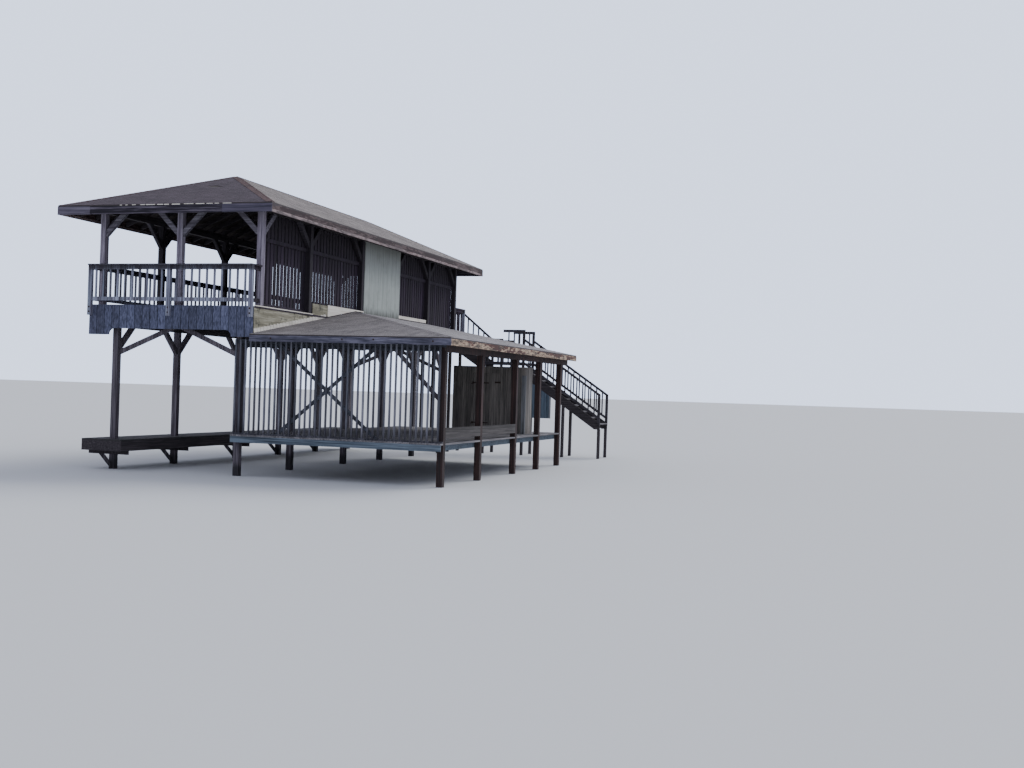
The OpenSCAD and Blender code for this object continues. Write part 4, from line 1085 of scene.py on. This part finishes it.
# %% Drip edges
STRIP = 1.2 * MM
DRIP_DEPTH, DRIP_INSET = 22 * MM, 4.5 * MM
PALE_FROM, PALE_TO = -3.20, -0.45
FLAKE_INSET = 3.0 * MM
FLAKE_LENGTHS = (0.05, 0.30)
FLAKE_GAPS = (0.02, 0.14)
FLAKE_DEPTHS = (12, 22)     # mm


def drip_edge(row, start, end, out, depth, inset):
    """A strip of metal on the edge of the plywood, this far inside the fascia's face."""
    along = (end - start).normalized()
    space = Matrix((along, out, along.cross(out))).transposed().to_4x4()
    centre = (start + end) / 2 - out * (STRIP / 2 + inset) - Z * (DROP + depth / 2)
    add_plate(row, ((end - start).length, STRIP, depth), Matrix.Translation(centre) @ space)


row = new_row()
for start, end, out in ((lake_near, bank_near, -Y), (bank_near, bank_far, X), (bank_far, lake_far, Y),
                        (lake_far, lake_near, -X), (wall_corner, near_corner, -Y),
                        (near_corner, far_corner, X)):
    trim = (end - start).normalized() * EDGE_BACK
    drip_edge(row, start + trim, end - trim, out, DRIP_DEPTH, DRIP_INSET)
make_piece("dark_drip_edges", row, eave_metal)

row = new_row()
place = PALE_FROM
while place < PALE_TO:
    length = chance.uniform(*FLAKE_LENGTHS)
    flake = Vector((place, lake_near.y, lake_near.z))
    drip_edge(row, flake, flake + X * length, -Y, chance.uniform(*FLAKE_DEPTHS) * MM, FLAKE_INSET)
    place += length + chance.uniform(*FLAKE_GAPS)
make_piece("pale_drip_flakes", row, step_metal)

# %% [markdown]
# ## Step flashing
# Where the lean-to meets the plywood of the house, a small square of cream metal is tucked under each
# course, so their corners climb the wall like teeth. One long toothed strip would be quicker, but
# loose squares never line up. So each is a plate of its own, set at the height of the roof there and
# turned by a chance angle, and its neighbours lie a hair in front of it or behind.

# %% Step flashing
PLATE_PITCH = 0.150
TOOTH = Vector((1.2 * MM, 0.140, 0.105))
TOOTH_GAP, TOOTH_LAP = 1.0 * MM, 0.4 * MM
TOOTH_RISE = 0.024
TOOTH_TURN = (-4, 8)        # degrees

row = new_row()
hip_rise = LEAN_FALL / LEAN_HIP
for i in range(int((rim_high.y - rim_low.y) / PLATE_PITCH)):
    y = rim_low.y + (i + 0.5) * PLATE_PITCH
    z = low_eave + (y - near_corner.y) * hip_rise
    turn = Matrix.Rotation(math.radians(chance.uniform(*TOOTH_TURN)), 4, "X")
    place = Vector((lean_low.x + TOOTH_GAP + TOOTH_LAP * (i % 2), y, z + TOOTH_RISE))
    add_plate(row, TOOTH, Matrix.Translation(place) @ turn)
make_piece("step_flashing", row, step_metal)

# %% [markdown]
# ## Bolts
# Bolts hold the railing's posts to the skirt and the lengths of the low fascia to its frame. At this
# distance a head is a dark dot with a small shadow. A disc would give the dot but not the shadow, so
# each is two short cylinders: a washer with twelve sides, and on it a head with six.

# %% Bolts
WASHER, WASHER_DEPTH = 0.020, 3 * MM
HEAD_SIZE, HEAD_DEPTH = 0.012, 8 * MM
RAIL_POST = 0.089
CAP_OVERHANG = 0.0255
RAIL_BOLT_HEIGHTS = (3.68, 3.79)
FASCIA_BOLTS = ((0.62, 3.12), (2.36, 3.13), (3.10, 3.14), (4.48, 3.125))    # place and height of each


def bolt(row, place, out):
    """A washer and a six-sided bolt head that stand on a face at a place."""
    turn = out.to_track_quat("Z", "Y").to_matrix().to_4x4()
    for sides, radius, depth, base in ((12, WASHER, WASHER_DEPTH, 0),
                                       (6, HEAD_SIZE, HEAD_DEPTH, WASHER_DEPTH)):
        space = Matrix.Translation(place + out * (base + depth / 2)) @ turn
        made = bmesh.ops.create_cone(row, cap_ends=True, segments=sides, radius1=radius, radius2=radius,
                                     depth=depth, matrix=space)
        tint(row, made["verts"])


row = new_row()
rail_low, rail_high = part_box("near_railing")
for x in (rail_low.x + RAIL_POST / 2, (rail_low.x + rail_high.x) / 2, rail_high.x - RAIL_POST / 2):
    for z in RAIL_BOLT_HEIGHTS:
        bolt(row, Vector((x, rail_low.y + CAP_OVERHANG, z)), -Y)
for x, z in FASCIA_BOLTS:
    bolt(row, Vector((x, lean_low.y, z)), -Y)
make_piece("bolts", row, steel)

# %% [markdown]
# ## Finishes of the frame's own pieces
# Posts, braces, rafters, railings and the stair are single timbers whose real shape the frame has
# already, down to the cuts where they seat. Drawing them again would only add mistakes, so they keep
# that shape and get their timber.

# %% Timber for the frame
kept = {
    "lake_posts": lake_pine, "slip_posts": lake_pine, "lower_braces": lake_pine,
    "bank_posts": red_stained, "leanto_beam": red_stained,
    "upper_posts": post_pine, "upper_braces": brace_pine,
    "upper_deck_frame": framing_across, "end_beams": framing_across, "rafters": framing_across,
    "leanto_rafters": framing_across, "stair_stringers": framing_across,
    "walkway_beams": framing_along, "girders": framing_along, "side_beams": framing_along,
    "ridge_and_hips": framing_along, "stair_posts": framing_upright,
    "near_railing": rail_pine, "lake_railing": rail_pine, "far_railing": rail_pine,
    "wall_slats": wall_boards, "wall_rails": wall_boards, "wall_flashing": cream_paint,
    "bank_rim_panel": plywood, "stair_treads": stair_tread, "stair_platforms": deck_across,
    "stair_rails": stair_frame,
}
for name, finish in kept.items():
    mesh = nodes[name].data
    mesh.materials.clear()
    mesh.materials.append(finish)
print(len(kept), "pieces of the frame finished")

# %% [markdown]
# ## Floor and light
# The day was overcast, so most of the light comes from the whole sky, pale and slightly blue. Clouds
# are brightest round the place of the sun, which was high behind the house, so a weak and very wide
# sun stands there: it lights the roofs and leaves the near end in shade. A painted backdrop could
# give the sky, but a plain one hides nothing of the timber. The sky that the camera sees is brighter
# than the light it gives, as a cloud is beside dark wood. One value for both would make either the
# sky dull or the timber pale. The floor is wide, so that its edge is lost far away.

# %% Floor, sky and sun
FLOOR_REACH = 400

floor_mesh = bmesh.new()
bmesh.ops.create_grid(floor_mesh, x_segments=1, y_segments=1, size=FLOOR_REACH)
sheet = bpy.data.meshes.new("floor")
floor_mesh.to_mesh(sheet)
floor_mesh.free()
floor_paint, tree, where = start_material("pale_floor")
finish_surface(tree, linear("C9CBCB"), 0.9, streaks(tree, where, 0, width=0.3, length=0.3), 1 * MM)
sheet.materials.append(floor_paint)
floor = bpy.data.objects.new("floor", sheet)
bpy.context.scene.collection.objects.link(floor)

sky = bpy.data.worlds.new("sky")
bpy.context.scene.world = sky
sky.use_nodes = True
sky_tree = sky.node_tree
sky_tree.nodes.clear()
cloud_light = add_node(sky_tree, "Background", {"Color": linear("C9CEE2"), "Strength": 1.25})["Background"]
cloud_glare = add_node(sky_tree, "Background", {"Color": linear("C4D0EA"), "Strength": 2.6})["Background"]
seen = add_node(sky_tree, "LightPath")["Is Camera Ray"]
mixed = add_node(sky_tree, "MixShader", {0: seen, 1: cloud_light, 2: cloud_glare})["Shader"]
add_node(sky_tree, "OutputWorld", {"Surface": mixed})

sun_data = bpy.data.lights.new("wide_sun", "SUN")
sun_data.energy = 2.3
sun_data.angle = math.radians(40)
sun = bpy.data.objects.new("wide_sun", sun_data)
TO_SUN = Vector((0.28, 0.68, 0.64))
sun.rotation_euler = TO_SUN.to_track_quat("Z", "Y").to_euler()
bpy.context.scene.collection.objects.link(sun)
print("the sun stands", round(math.degrees(math.asin(TO_SUN.normalized().z))), "degrees up")
